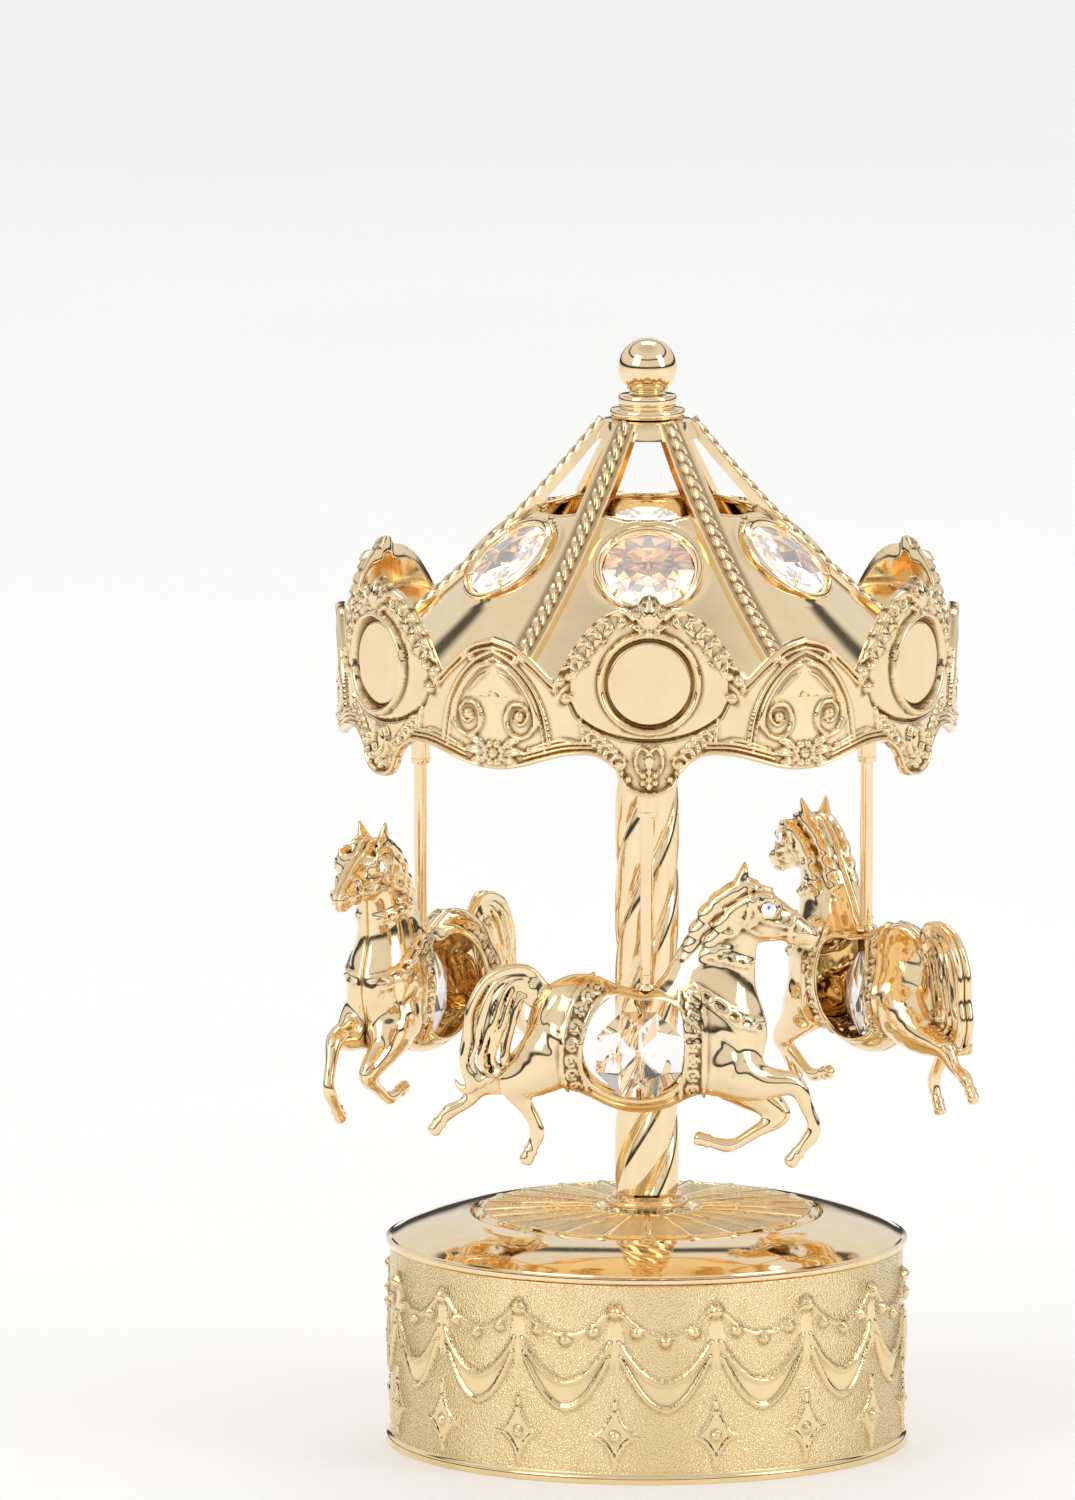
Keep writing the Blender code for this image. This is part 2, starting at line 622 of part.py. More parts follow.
def make_horse(number, angle, yaw, body):
    """A horse of two half shells on its rod, with the crystal that hangs in its body and its two eyes."""
    turn = Matrix.Rotation(math.radians(angle + 90 + yaw), 4, "Z")
    place = empty(f"horse_{number}_place", (*direction(angle, ROD_CIRCLE), 0), turn, body)
    window = [(x, z) for x, z in reversed(circle(WINDOW_CENTRE, HORSE_WINDOW_RADIUS, 20))]
    for half, sign, legs in (("outer", 1, (NEAR_HIND, NEAR_FORE)), ("inner", -1, (FAR_HIND, FAR_FORE))):
        name = f"horse_{number}_{half}_half"
        layers = [
            (f"{name}_neck", [NECK], 0.2, 3.0),
            (f"{name}_tail", [TAIL], 0.25, 2.0),
            (f"{name}_hind_leg", [limb(*legs[0])], 0.3, 3.2),
            (f"{name}_fore_leg", [limb(*legs[1])], 0.35, 3.3),
        ]
        low, high = sorted((0.15 * sign, 5.8 * sign))
        torso = plate(name, [TORSO, window], low, high, POLISHED, place, upright=True)
        added = []
        for layer_name, loops, inside, outside in layers:
            low, high = sorted((inside * sign, outside * sign))
            added.append(plate(layer_name, loops, low, high, POLISHED, place, upright=True))
        combine(torso, added, "UNION")
        facing = Matrix.Translation(Vector((18.4, -3.6 * sign, 88.9)) * MM)
        facing = facing @ Matrix.Rotation(math.radians(90 * sign), 4, "X")
        eye = [(0, 0.6), (0.6, 0.6), (1.15, 0.1), (1.15, 0.0), (0, 0.0)]
        turned(f"horse_{number}_{half}_eye", eye, CRYSTAL, place, steps=8, turn=facing)
    turned(f"horse_{number}_rod", rod_profile(ROD_RADIUS, ROD_LOW, ROD_TOP), POLISHED, place, steps=16)
    collar = tube_profile(ROD_RADIUS + 0.15, 1.45, COLLAR_LOW, CEILING_LOW - GAP)
    turned(f"horse_{number}_rod_collar", collar, POLISHED, place, steps=16, ring=True)
    gem_place = Matrix.Translation(Vector((WINDOW_CENTRE[0], 0, WINDOW_CENTRE[1])) * MM)
    upright = Matrix.Rotation(math.radians(90), 4, "X")
    half_side = Matrix.Rotation(math.radians(22.5), 4, "Z")
    gem_turn = gem_place @ upright @ half_side
    turned(f"horse_{number}_crystal", gem_profile(), CRYSTAL, place, steps=8, turn=gem_turn)


def make_model():
    carousel = empty("carousel_axis")
    winder = empty("winder_axis")
    along_x = Matrix.Rotation(math.radians(90), 4, "Y") @ Matrix.Rotation(math.radians(90), 4, "Z")
    cylinder = empty("cylinder_axis", (0, 0, CYLINDER_HEIGHT), along_x)
    wheel = empty("governor_wheel_axis", (0, GOVERNOR_Y, CYLINDER_HEIGHT), along_x)
    fan = empty("governor_fan_axis", (*WORM_PLACE, 0))
    make_base()
    make_chassis()
    make_winder(winder)
    make_barrel(carousel)
    make_cylinder(cylinder)
    make_governor(wheel, fan)
    make_pole(carousel)
    make_roof(carousel)
    make_valance(carousel)
    make_finial(carousel)
    for number, (angle, yaw) in enumerate(zip(HORSE_ANGLES, HORSE_YAWS), 1):
        make_horse(number, angle, yaw, carousel)


clear_scene()
PARTS = new_collection("carousel_music_box", False)
CUTTERS = new_collection("cutters", True)
POLISHED = principled("polished_gold", (0.86, 0.70, 0.42), 0.08)
STAMPED = principled("stamped_gold", (0.84, 0.67, 0.38), 0.25)
BRASS = principled("movement_brass", (0.78, 0.60, 0.30), 0.35)
STEEL = principled("bright_steel", (0.70, 0.70, 0.68), 0.25)
SPRING = principled("spring_steel", (0.36, 0.37, 0.40), 0.3)
IRON = principled("cast_bed", (0.55, 0.54, 0.50), 0.5)
CRYSTAL = principled("crystal", (1.0, 1.0, 1.0), 0.02, 0.0, 1.0)
make_model()
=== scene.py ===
"""Looks of the carousel music box: stamped and sculpted gold shells, cut crystals and a small movement.

Lengths are in millimetres and angles in degrees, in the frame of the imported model; MM turns them into metres.
Reliefs are height fields over (across, up); horses are distance fields turned into meshes.
"""

import json
import math

import bmesh
import bpy
import numpy as np
import openvdb
from mathutils import Matrix, Vector


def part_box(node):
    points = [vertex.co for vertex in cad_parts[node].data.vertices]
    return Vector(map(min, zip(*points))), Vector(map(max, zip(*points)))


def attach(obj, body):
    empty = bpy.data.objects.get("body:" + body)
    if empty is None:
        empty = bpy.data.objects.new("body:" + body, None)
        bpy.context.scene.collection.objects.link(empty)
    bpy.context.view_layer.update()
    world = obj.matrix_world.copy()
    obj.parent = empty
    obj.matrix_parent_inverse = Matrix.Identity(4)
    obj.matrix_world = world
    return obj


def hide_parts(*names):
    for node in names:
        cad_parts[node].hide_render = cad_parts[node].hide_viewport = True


MM = 0.001

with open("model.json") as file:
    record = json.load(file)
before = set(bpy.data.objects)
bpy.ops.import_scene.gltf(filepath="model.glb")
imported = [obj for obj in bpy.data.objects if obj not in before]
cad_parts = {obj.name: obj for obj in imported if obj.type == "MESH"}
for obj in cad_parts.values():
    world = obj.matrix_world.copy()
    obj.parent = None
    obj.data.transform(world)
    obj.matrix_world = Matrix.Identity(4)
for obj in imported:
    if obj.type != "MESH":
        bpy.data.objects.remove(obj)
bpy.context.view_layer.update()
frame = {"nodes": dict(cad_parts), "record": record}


def box_mm(node):
    """The lowest and highest corners of a CAD node."""
    low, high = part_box(node)
    return np.array(low) / MM, np.array(high) / MM


# Places that the frame gives
_, DRUM_HIGH = box_mm("base_drum")
_, COVER_HIGH = box_mm("top_cover")
_, FOOT_HIGH = box_mm("pole_foot_ring")
POLE_LOW, POLE_HIGH = box_mm("pole")
CEILING_LOW, CEILING_HIGH = box_mm("ceiling_plate")
_, VALANCE_HIGH = box_mm("valance")
COLLAR_LOW, COLLAR_HIGH = box_mm("finial_collar")
BALL_LOW, BALL_HIGH = box_mm("finial_ball")

# Drum
SWAGS = 16
SWAG_COLUMNS = 58
SWAG_ROWS = 98
SWAG_KNOT = -7.4
DRUM_RADIUS = DRUM_HIGH[0] - 0.15
DRUM_GROUND = DRUM_RADIUS - 0.55
DRUM_INSIDE = DRUM_RADIUS - 1.3
DIAMOND_HEIGHT = 7.2
DIAMOND_TIPS = (13.5, 2.0)
DIAMOND_HALF_WIDTH = 3.7
DISC_RIBS = 24
DISC_EDGE = 26.1
DISC_HUB = 7.6

# Pole and canopy
POLE_RADIUS = 4.95
POLE_LOBES = 4
POLE_PITCH = 51.0
POLE_BORE = POLE_RADIUS - 2.9
SIDES = 6
VALANCE_RADIUS = VALANCE_HIGH[1]
VALANCE_WALL = 1.0
ROOF_TOP_RADIUS = 6.2
ROOF_TOP = 158.1
ROOF_EDGE_RADIUS = 46.3
ROOF_WALL = 0.8
WINDOW_OUTER = 17.0
CRYSTAL_CIRCLE = 24.4
CRYSTAL_RADIUS = 7.0

# Horses
HORSES = (1, 2, 3)
HORSE_YAWS = (0.0, 2.5, -2.2)
HORSE_VOXEL = 0.25
HORSE_WALL = 0.75
HORSE_LOW = np.array((-34.0, -8.0, 47.0))
HORSE_HIGH = np.array((28.5, 8.0, 97.5))
HORSE_CRYSTAL = (-1.2, 66.1)
LEG_STRENGTH = 1.18
RECESS_DEPTH = 0.16


# ---------------------------------------------------------------- meshes


def curve(points, steps=6, closed=False):
    """A smooth line through points, as a Catmull-Rom spline."""
    points = np.array(points, float)
    count = len(points)
    if closed:
        padded = np.vstack([points[-1], points, points[0], points[1]])
        spans = count
    else:
        padded = np.vstack([2 * points[0] - points[1], points, 2 * points[-1] - points[-2]])
        spans = count - 1
    line = []
    for i in range(spans):
        a, b, c, d = padded[i : i + 4]
        square, cube = 2 * a - 5 * b + 4 * c - d, 3 * b - a - 3 * c + d
        for t in np.arange(steps) / steps:
            line.append(0.5 * (2 * b + (c - a) * t + square * t**2 + cube * t**3))
    if not closed:
        line.append(points[-1])
    return np.array(line)


def arc(centre, half_width, half_height, angles):
    """Points on an ellipse at the given angles."""
    turn = np.radians(angles)
    return np.stack([centre[0] + half_width * np.cos(turn), centre[1] + half_height * np.sin(turn)], 1)


def mesh_of(name, points, quads):
    """A smooth mesh of four-sided faces over points."""
    mesh = bpy.data.meshes.new(name)
    mesh.vertices.add(len(points))
    mesh.vertices.foreach_set("co", (np.asarray(points) * MM).astype(np.float32).ravel())
    mesh.loops.add(quads.size)
    mesh.loops.foreach_set("vertex_index", quads.astype(np.int32).ravel())
    mesh.polygons.add(len(quads))
    mesh.polygons.foreach_set("loop_start", np.arange(0, quads.size, 4, dtype=np.int32))
    mesh.update(calc_edges=True)
    mesh.validate()
    mesh.shade_smooth()
    return mesh


def outward(points, quads):
    """The quads, turned so that a closed mesh's faces point out."""
    a, b, c, d = (points[quads[:, i]] for i in range(4))
    volume = np.einsum("ij,ij->", np.cross(a, b), c) + np.einsum("ij,ij->", np.cross(a, c), d)
    return quads if volume > 0 else quads[:, ::-1]


def grid_quads(rows, columns, wrap_rows, wrap_columns):
    """The faces between a grid's rows and columns, which may close into rings."""
    i = np.arange(rows if wrap_rows else rows - 1)
    j = np.arange(columns if wrap_columns else columns - 1)
    i, j = (part.ravel() for part in np.meshgrid(i, j, indexing="ij"))
    here, following = i * columns, (i + 1) % rows * columns
    beside = (j + 1) % columns
    return np.stack([here + j, following + j, following + beside, here + beside], 1)


def ring_mesh(name, grid):
    """A closed mesh from a grid of rows and columns, wrapped both ways."""
    points = grid.reshape(-1, 3)
    return mesh_of(name, points, outward(points, grid_quads(grid.shape[0], grid.shape[1], True, True)))


def tidy(mesh, sharp=40.0):
    """Merges points that lie on each other, turns the faces out and marks the sharp edges."""
    work = bmesh.new()
    work.from_mesh(mesh)
    bmesh.ops.remove_doubles(work, verts=work.verts, dist=0.001 * MM)
    bmesh.ops.recalc_face_normals(work, faces=work.faces)
    work.to_mesh(mesh)
    work.free()
    mesh.shade_smooth()
    mesh.set_sharp_from_angle(angle=math.radians(sharp))
    return mesh


def turned_mesh(name, profile, segments=128, sharp=32.0):
    """A turned solid from its closed profile of (radius, height)."""
    profile = np.array(profile, float)
    angles = np.radians(np.arange(segments) * 360 / segments)
    grid = np.empty((len(profile), segments, 3))
    grid[..., 0] = profile[:, :1] * np.cos(angles)
    grid[..., 1] = profile[:, :1] * np.sin(angles)
    grid[..., 2] = profile[:, 1:]
    wrap = bool(profile[:, 0].min() > 0)
    points = grid.reshape(-1, 3)
    return tidy(mesh_of(name, points, grid_quads(len(profile), segments, wrap, True)), sharp)


def tube_mesh(name, line, radius, sides=12):
    """A round wire along a line of points; its radius may vary along it."""
    line = np.array(line, float)
    radii = np.broadcast_to(radius, len(line))
    along = np.gradient(line, axis=0)
    along /= np.linalg.norm(along, axis=1, keepdims=True)
    across = np.cross(along, (0.31, 0.12, 0.94))
    across /= np.linalg.norm(across, axis=1, keepdims=True)
    up = np.cross(along, across)
    angles = np.radians(np.arange(sides) * 360 / sides)
    grid = line[:, None] + radii[:, None, None] * (
        across[:, None] * np.cos(angles)[:, None] + up[:, None] * np.sin(angles)[:, None]
    )
    grid = np.vstack([np.repeat(line[:1, None], sides, 1), grid, np.repeat(line[-1:, None], sides, 1)])
    return tidy(mesh_of(name, grid.reshape(-1, 3), grid_quads(len(grid), sides, False, True)), 60)


def hull_mesh(name, points):
    """The convex solid round points, with flat facets."""
    work = bmesh.new()
    for point in points:
        work.verts.new(Vector(point) * MM)
    made = bmesh.ops.convex_hull(work, input=work.verts)
    bmesh.ops.delete(work, geom=made["geom_interior"], context="VERTS")
    bmesh.ops.dissolve_limit(work, angle_limit=math.radians(0.5), verts=work.verts, edges=work.edges)
    bmesh.ops.recalc_face_normals(work, faces=work.faces)
    mesh = bpy.data.meshes.new(name)
    work.to_mesh(mesh)
    work.free()
    return mesh


def piece(name, mesh, material, body, replaces=(), matrix=None):
    """A new piece of the object, in place and riding on its body."""
    if not mesh.materials:
        mesh.materials.append(material)
    obj = bpy.data.objects.new(name, mesh)
    bpy.context.scene.collection.objects.link(obj)
    if matrix is not None:
        obj.matrix_world = matrix
    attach(obj, body)
    if replaces:
        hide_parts(*replaces)


def golden(name, mesh, replaces=(), matrix=None):
    """A polished piece that turns with the carousel."""
    piece(name, mesh, POLISHED, "carousel", replaces, matrix)


def about_axis(angle):
    return Matrix.Rotation(math.radians(angle), 4, "Z")


# ---------------------------------------------------------------- reliefs


class Relief:
    """Heights over a grid of places: u across and v up."""

    def __init__(self, u, v):
        self.u = u
        self.v = v
        self.base = np.zeros_like(u)
        self.detail = np.zeros_like(u)

    def near(self, points, reach):
        """The places within reach of the points' box."""
        points = np.atleast_2d(points)
        low, high = points.min(0) - reach, points.max(0) + reach
        return np.nonzero((self.u > low[0]) & (self.u < high[0]) & (self.v > low[1]) & (self.v < high[1]))

    def distance(self, line, reach):
        """Where the line's neighbourhood is, the distance to the line there, and how far along it."""
        line = np.atleast_2d(np.array(line, float))
        where = self.near(line, reach)
        u, v = self.u[where], self.v[where]
        best = np.full(u.shape, 1e9)
        share = np.zeros(u.shape)
        spans = max(len(line) - 1, 1)
        for i in range(spans):
            a, b = line[i], line[min(i + 1, len(line) - 1)]
            along = b - a
            t = ((u - a[0]) * along[0] + (v - a[1]) * along[1]) / max(along @ along, 1e-12)
            t = np.clip(t, 0, 1)
            d = np.hypot(u - a[0] - t * along[0], v - a[1] - t * along[1])
            closer = d < best
            best[closer] = d[closer]
            share[closer] = (i + t[closer]) / spans
        return where, best, share

    def raise_to(self, where, height):
        """Raises the detail at least to a height."""
        self.detail[where] = np.maximum(self.detail[where], height)

    def total(self):
        return self.base + self.detail

    def bead(self, line, half_width, height, ends=1.0):
        """A half-round moulding along a line, thinner towards its ends where ends is under 1."""
        where, d, share = self.distance(line, half_width)
        width = half_width * (ends + (1 - ends) * np.sqrt(np.sin(np.pi * np.clip(share, 0.001, 0.999))))
        self.raise_to(where, height * np.sqrt(np.clip(1 - (d / width) ** 2, 0, 1)))

    def dome(self, centre, radius, height):
        self.bead([centre], radius, height)

    def groove(self, line, half_width, depth):
        """A soft channel along a line."""
        where, d, _ = self.distance(line, 3 * half_width)
        self.base[where] -= depth * np.exp(-((d / half_width) ** 2))

    def leaf(self, root, tip, width, height, vein=0.25, bend=0.0):
        """A pointed leaf with a midrib; bend bows it to its left, as a share of its length."""
        root, tip = np.array(root, float), np.array(tip, float)
        axis = tip - root
        length = np.hypot(*axis)
        axis /= length
        where = self.near([root, tip], width + abs(bend) * length)
        du, dv = self.u[where] - root[0], self.v[where] - root[1]
        s = (du * axis[0] + dv * axis[1]) / length
        across = -du * axis[1] + dv * axis[0] - bend * length * 4 * s * (1 - s)
        inside = np.clip(s, 0.0001, 0.9999)
        half = width / 2 * np.sin(np.pi * inside**0.8) ** 0.8
        body = np.sqrt(np.clip(1 - (across / half) ** 2, 0, 1)) * (0.55 + 0.45 * np.sin(np.pi * inside))
        body -= vein * np.exp(-((across / (0.09 * width)) ** 2)) * (body > 0)
        self.raise_to(where, np.where((s > 0) & (s < 1), height * body, -9))

    def plateau(self, inside, height, edge=0.15):
        """Lifts the places where inside, a signed distance that is positive within, is above zero."""
        self.base += height * np.clip(inside / edge, 0, 1)


# ---------------------------------------------------------------- materials


def new_material(name):
    """A new material with its node tree, links and shader."""
    material = bpy.data.materials.new(name)
    material.use_nodes = True
    nodes, links = material.node_tree.nodes, material.node_tree.links
    return material, nodes, links, nodes["Principled BSDF"]


def noise(nodes, links, scale, detail=3.0, stretch=(1.0, 1.0, 1.0)):
    """A noise over the object's own coordinates, whose grain is about 1/scale metres."""
    place = nodes.new("ShaderNodeTexCoord")
    mapping = nodes.new("ShaderNodeMapping")
    mapping.inputs["Scale"].default_value = stretch
    texture = nodes.new("ShaderNodeTexNoise")
    texture.inputs["Scale"].default_value = scale
    texture.inputs["Detail"].default_value = detail
    links.new(place.outputs["Object"], mapping.inputs["Vector"])
    links.new(mapping.outputs["Vector"], texture.inputs["Vector"])
    return texture


def ramp(nodes, links, source, low, high, at=(0.35, 0.65)):
    """A colour ramp between two grey values or two colours."""
    node = nodes.new("ShaderNodeValToRGB")
    for element, place, value in zip(node.color_ramp.elements, at, (low, high)):
        element.position = place
        element.color = (*value, 1.0) if isinstance(value, tuple) else (value, value, value, 1.0)
    links.new(source, node.inputs["Fac"])
    return node.outputs["Color"]


def bump(nodes, links, height, distance, strength=1.0, before=None):
    """A bump of a height in millimetres, on top of the bump before it."""
    node = nodes.new("ShaderNodeBump")
    node.inputs["Distance"].default_value = distance * MM
    if isinstance(strength, float):
        node.inputs["Strength"].default_value = strength
    else:
        links.new(strength, node.inputs["Strength"])
    links.new(height, node.inputs["Height"])
    if before:
        links.new(before, node.inputs["Normal"])
    return node.outputs["Normal"]


def tinted(nodes, links, shader, colours, painted_shade):
    """Two close tints, which go over to a painted brown shade where the mesh's shade value, stored on its
    hollows, is 1.
    """
    cloud = noise(nodes, links, 220.0)
    tint = ramp(nodes, links, cloud.outputs["Fac"], *colours)
    if painted_shade:
        deep = nodes.new("ShaderNodeAttribute")
        deep.attribute_name = "painted_shade"
        mix = nodes.new("ShaderNodeMix")
        mix.data_type = "RGBA"
        links.new(deep.outputs["Fac"], mix.inputs["Factor"])
        links.new(tint, mix.inputs["A"])
        mix.inputs["B"].default_value = (*painted_shade, 1.0)
        tint = mix.outputs["Result"]
    links.new(tint, shader.inputs["Base Color"])


def metal(name, colours, roughness, grain, wave=0.0, stretch=(1.0, 1.0, 1.0), painted_shade=None):
    """Metal with two close tints, uneven polish, a fine grain and a slow wave of the surface; given a shade
    colour, it paints that shade into the mesh's hollows.
    """
    material, nodes, links, shader = new_material(name)
    shader.inputs["Metallic"].default_value = 1.0
    tinted(nodes, links, shader, colours, painted_shade)
    smudge = noise(nodes, links, 900.0, 5.0, stretch)
    links.new(ramp(nodes, links, smudge.outputs["Fac"], *roughness), shader.inputs["Roughness"])
    normal = bump(nodes, links, noise(nodes, links, 3500.0, 2.0, stretch).outputs["Fac"], grain)
    if wave:
        normal = bump(nodes, links, noise(nodes, links, 130.0, 1.0).outputs["Fac"], wave, before=normal)
    links.new(normal, shader.inputs["Normal"])
    return material


def stippled_gold(name, colours, roughness, depth):
    """Stamped gold, matted with fine pits where the mesh's stipple value is 1 and polished elsewhere, with
    painted brown shade in its hollows.
    """
    material, nodes, links, shader = new_material(name)
    shader.inputs["Metallic"].default_value = 1.0
    tinted(nodes, links, shader, colours, PAINTED_SHADE_BROWN)
    mask = nodes.new("ShaderNodeAttribute")
    mask.attribute_name = "stipple"
    links.new(ramp(nodes, links, mask.outputs["Fac"], *roughness, at=(0.0, 1.0)), shader.inputs["Roughness"])
    place = nodes.new("ShaderNodeTexCoord")
    pits = nodes.new("ShaderNodeTexVoronoi")
    pits.inputs["Scale"].default_value = 2900.0
    links.new(place.outputs["Object"], pits.inputs["Vector"])
    normal = bump(nodes, links, pits.outputs["Distance"], depth, strength=mask.outputs["Fac"])
    fine = noise(nodes, links, 3000.0, 2.0)
    links.new(bump(nodes, links, fine.outputs["Fac"], 0.002, before=normal), shader.inputs["Normal"])
    return material


def crystal_glass(name, tints, glow):
    """Clear cut crystal with a faint cloud in its tint and a slight painted glow that stands in for the light
    it gathers.
    """
    material, nodes, links, shader = new_material(name)
    shader.inputs["Transmission Weight"].default_value = 1.0
    shader.inputs["IOR"].default_value = 1.46
    shader.inputs["Roughness"].default_value = 0.01
    # Painted light: the emission makes the crystal glow though it is no lamp.
    shader.inputs["Emission Color"].default_value = (1.0, 0.97, 0.93, 1.0)
    shader.inputs["Emission Strength"].default_value = glow
    cloud = noise(nodes, links, 140.0, 1.0)
    links.new(ramp(nodes, links, cloud.outputs["Fac"], *tints), shader.inputs["Base Color"])
    return material


GOLD_TINTS = ((0.91, 0.71, 0.43), (0.94, 0.75, 0.48))
WARM_TINTS = ((0.90, 0.70, 0.38), (0.94, 0.74, 0.43))
# Painted shade: the brown that the gold goes over to in its hollows, standing in for their occlusion and inner
# reflections.
PAINTED_SHADE_BROWN = (0.20, 0.10, 0.03)
POLISHED = metal("polished gold", GOLD_TINTS, (0.035, 0.08), 0.0006, wave=0.02)
STAMPED = stippled_gold("stamped gold", WARM_TINTS, (0.07, 0.2), 0.16)
RELIEF_GOLD = metal("relief gold", GOLD_TINTS, (0.04, 0.11), 0.0010, painted_shade=PAINTED_SHADE_BROWN)
HORSE_GOLD = metal("sculpted gold", GOLD_TINTS, (0.05, 0.12), 0.0010, painted_shade=PAINTED_SHADE_BROWN)
BRASS_TINTS = ((0.72, 0.52, 0.22), (0.80, 0.60, 0.28))
STEEL_TINTS = ((0.60, 0.60, 0.59), (0.70, 0.70, 0.68))
BLUED_TINTS = ((0.20, 0.23, 0.30), (0.34, 0.35, 0.40))
CAST_TINTS = ((0.50, 0.49, 0.46), (0.62, 0.61, 0.57))
BRASS = metal("movement brass", BRASS_TINTS, (0.22, 0.42), 0.004, stretch=(1.0, 1.0, 7.0))
STEEL = metal("bright steel", STEEL_TINTS, (0.16, 0.34), 0.003, stretch=(1.0, 1.0, 9.0))
SPRING = metal("blued spring steel", BLUED_TINTS, (0.2, 0.36), 0.003)
IRON = metal("plated casting", CAST_TINTS, (0.38, 0.6), 0.02)
CRYSTAL = crystal_glass("cut crystal", ((1.0, 0.96, 0.94), (0.98, 0.98, 1.0)), 0.03)
# The roof crystals get a stronger painted glow to look bright; no foil backing is modelled.
ROOF_CRYSTAL = crystal_glass("glowing roof crystal", ((1.0, 0.98, 0.95), (0.96, 0.98, 1.0)), 0.16)
RHINESTONE = metal("foiled rhinestone", ((0.90, 0.92, 0.96), (0.97, 0.97, 0.98)), (0.02, 0.05), 0.0004)
SLOT_MATERIALS = {
    "polished_gold": POLISHED,
    "stamped_gold": RELIEF_GOLD,
    "movement_brass": BRASS,
    "bright_steel": STEEL,
    "spring_steel": SPRING,
    "cast_bed": IRON,
    "crystal": CRYSTAL,
}


def paint_cad_nodes():
    """Gives every CAD node the finish of its slot; those that are replaced aren't shown."""
    for part in frame["record"]["subparts"]:
        mesh = frame["nodes"][part["node"]].data
        mesh.materials.clear()
        mesh.materials.append(SLOT_MATERIALS[part["material_slot"]])
        mesh.shade_smooth()
        mesh.set_sharp_from_angle(angle=math.radians(30))


def set_values(mesh, name, values):
    """Stores a number for each point of a mesh, which its material reads by name."""
    attribute = mesh.attributes.new(name, "FLOAT", "POINT")
    attribute.data.foreach_set("value", np.asarray(values, np.float32).ravel())


def blurred(values, reach, wrap=False):
    """Values over a grid, each averaged with its neighbours up to reach away, twice over."""
    for _ in range(2):
        for axis in range(values.ndim):
            pad = [(0, 0)] * values.ndim
            pad[axis] = (reach, reach)
            mode = "wrap" if wrap and axis == 1 else "edge"
            total = np.cumsum(np.insert(np.pad(values, pad, mode=mode), 0, 0, axis=axis), axis=axis)
            width = 2 * reach + 1
            high = np.take(total, np.arange(width, total.shape[axis]), axis=axis)
            low = np.take(total, np.arange(0, total.shape[axis] - width), axis=axis)
            values = (high - low) / width
    return values


def recesses(height, reach, depth, wrap=False):
    """How deep each place lies below its surroundings: 1 from the given depth on."""
    return np.clip((blurred(height, reach, wrap) - height) / depth - 0.12, 0, 1)


# ---------------------------------------------------------------- drum, cover and disc


def drum_relief(u, v, half):
    """One swag of drapery between two knots, with half a diamond under each knot."""
    relief = Relief(u, v)
    across = np.linspace(-1, 1, 25)

    def swag(reach, top, low, power):
        return np.stack([across * reach, low + (top - low) * np.abs(across) ** power], 1)

    upper = swag(half, 27.5, 22.6, 2.0)
    middle = swag(half - 0.7, 21.6, 15.4, 1.9)
    lower = swag(half - 1.0, 19.4, 11.4, 1.9)
    over, hem, foot = (np.interp(u, line[:, 0], line[:, 1]) for line in (upper, middle, lower))
    folds = (v > foot) & (v < hem) & (np.abs(u) < half - 1.0)
    for side in (-1, 1):
        knot = side * half
        relief.leaf((knot, 26.0), (knot - side * 0.5, 17.4), 2.4, 0.22, vein=0.16)
        t = np.linspace(0, 1, 12)
        for tip in DIAMOND_TIPS:
            rise = (tip - DIAMOND_HEIGHT) * (1 - t) ** 1.7
            flank = np.stack([knot - side * DIAMOND_HALF_WIDTH * t**1.7, DIAMOND_HEIGHT + rise], 1)
            relief.bead(flank, 0.24, 0.28)
        relief.dome((knot, DIAMOND_HEIGHT), 0.75, 0.75)
        relief.dome((knot, 26.5), 1.15, 1.1)
        relief.dome((side * 4.5, 23.3), 0.85, 0.85)
    relief.dome((0, 21.9), 0.9, 0.9)
    relief.bead(upper, 0.32, 0.45)
    for line in (middle, lower):
        relief.bead(line, 0.4, 0.48)
    apart = np.abs(np.abs(u) - half) / DIAMOND_HALF_WIDTH
    above, below = DIAMOND_TIPS
    reach = np.where(v > DIAMOND_HEIGHT, above - DIAMOND_HEIGHT, DIAMOND_HEIGHT - below)
    diamond = apart ** (1 / 1.7) + (np.abs(v - DIAMOND_HEIGHT) / reach) ** (1 / 1.7) < 1
    relief.base += np.where(folds, 0.2 * (1 - np.clip((hem - v) / 5, 0, 1)), 0.0)
    relief.base += np.where(diamond, 0.22, 0.0)
    relief.base += 0.16 * np.clip((over - v) / 0.4, 0, 1) * np.clip((v - over + 2.6) / 2, 0, 1)
    ground = (relief.detail < 0.05) & ~folds & ~diamond
    return relief.total(), ground


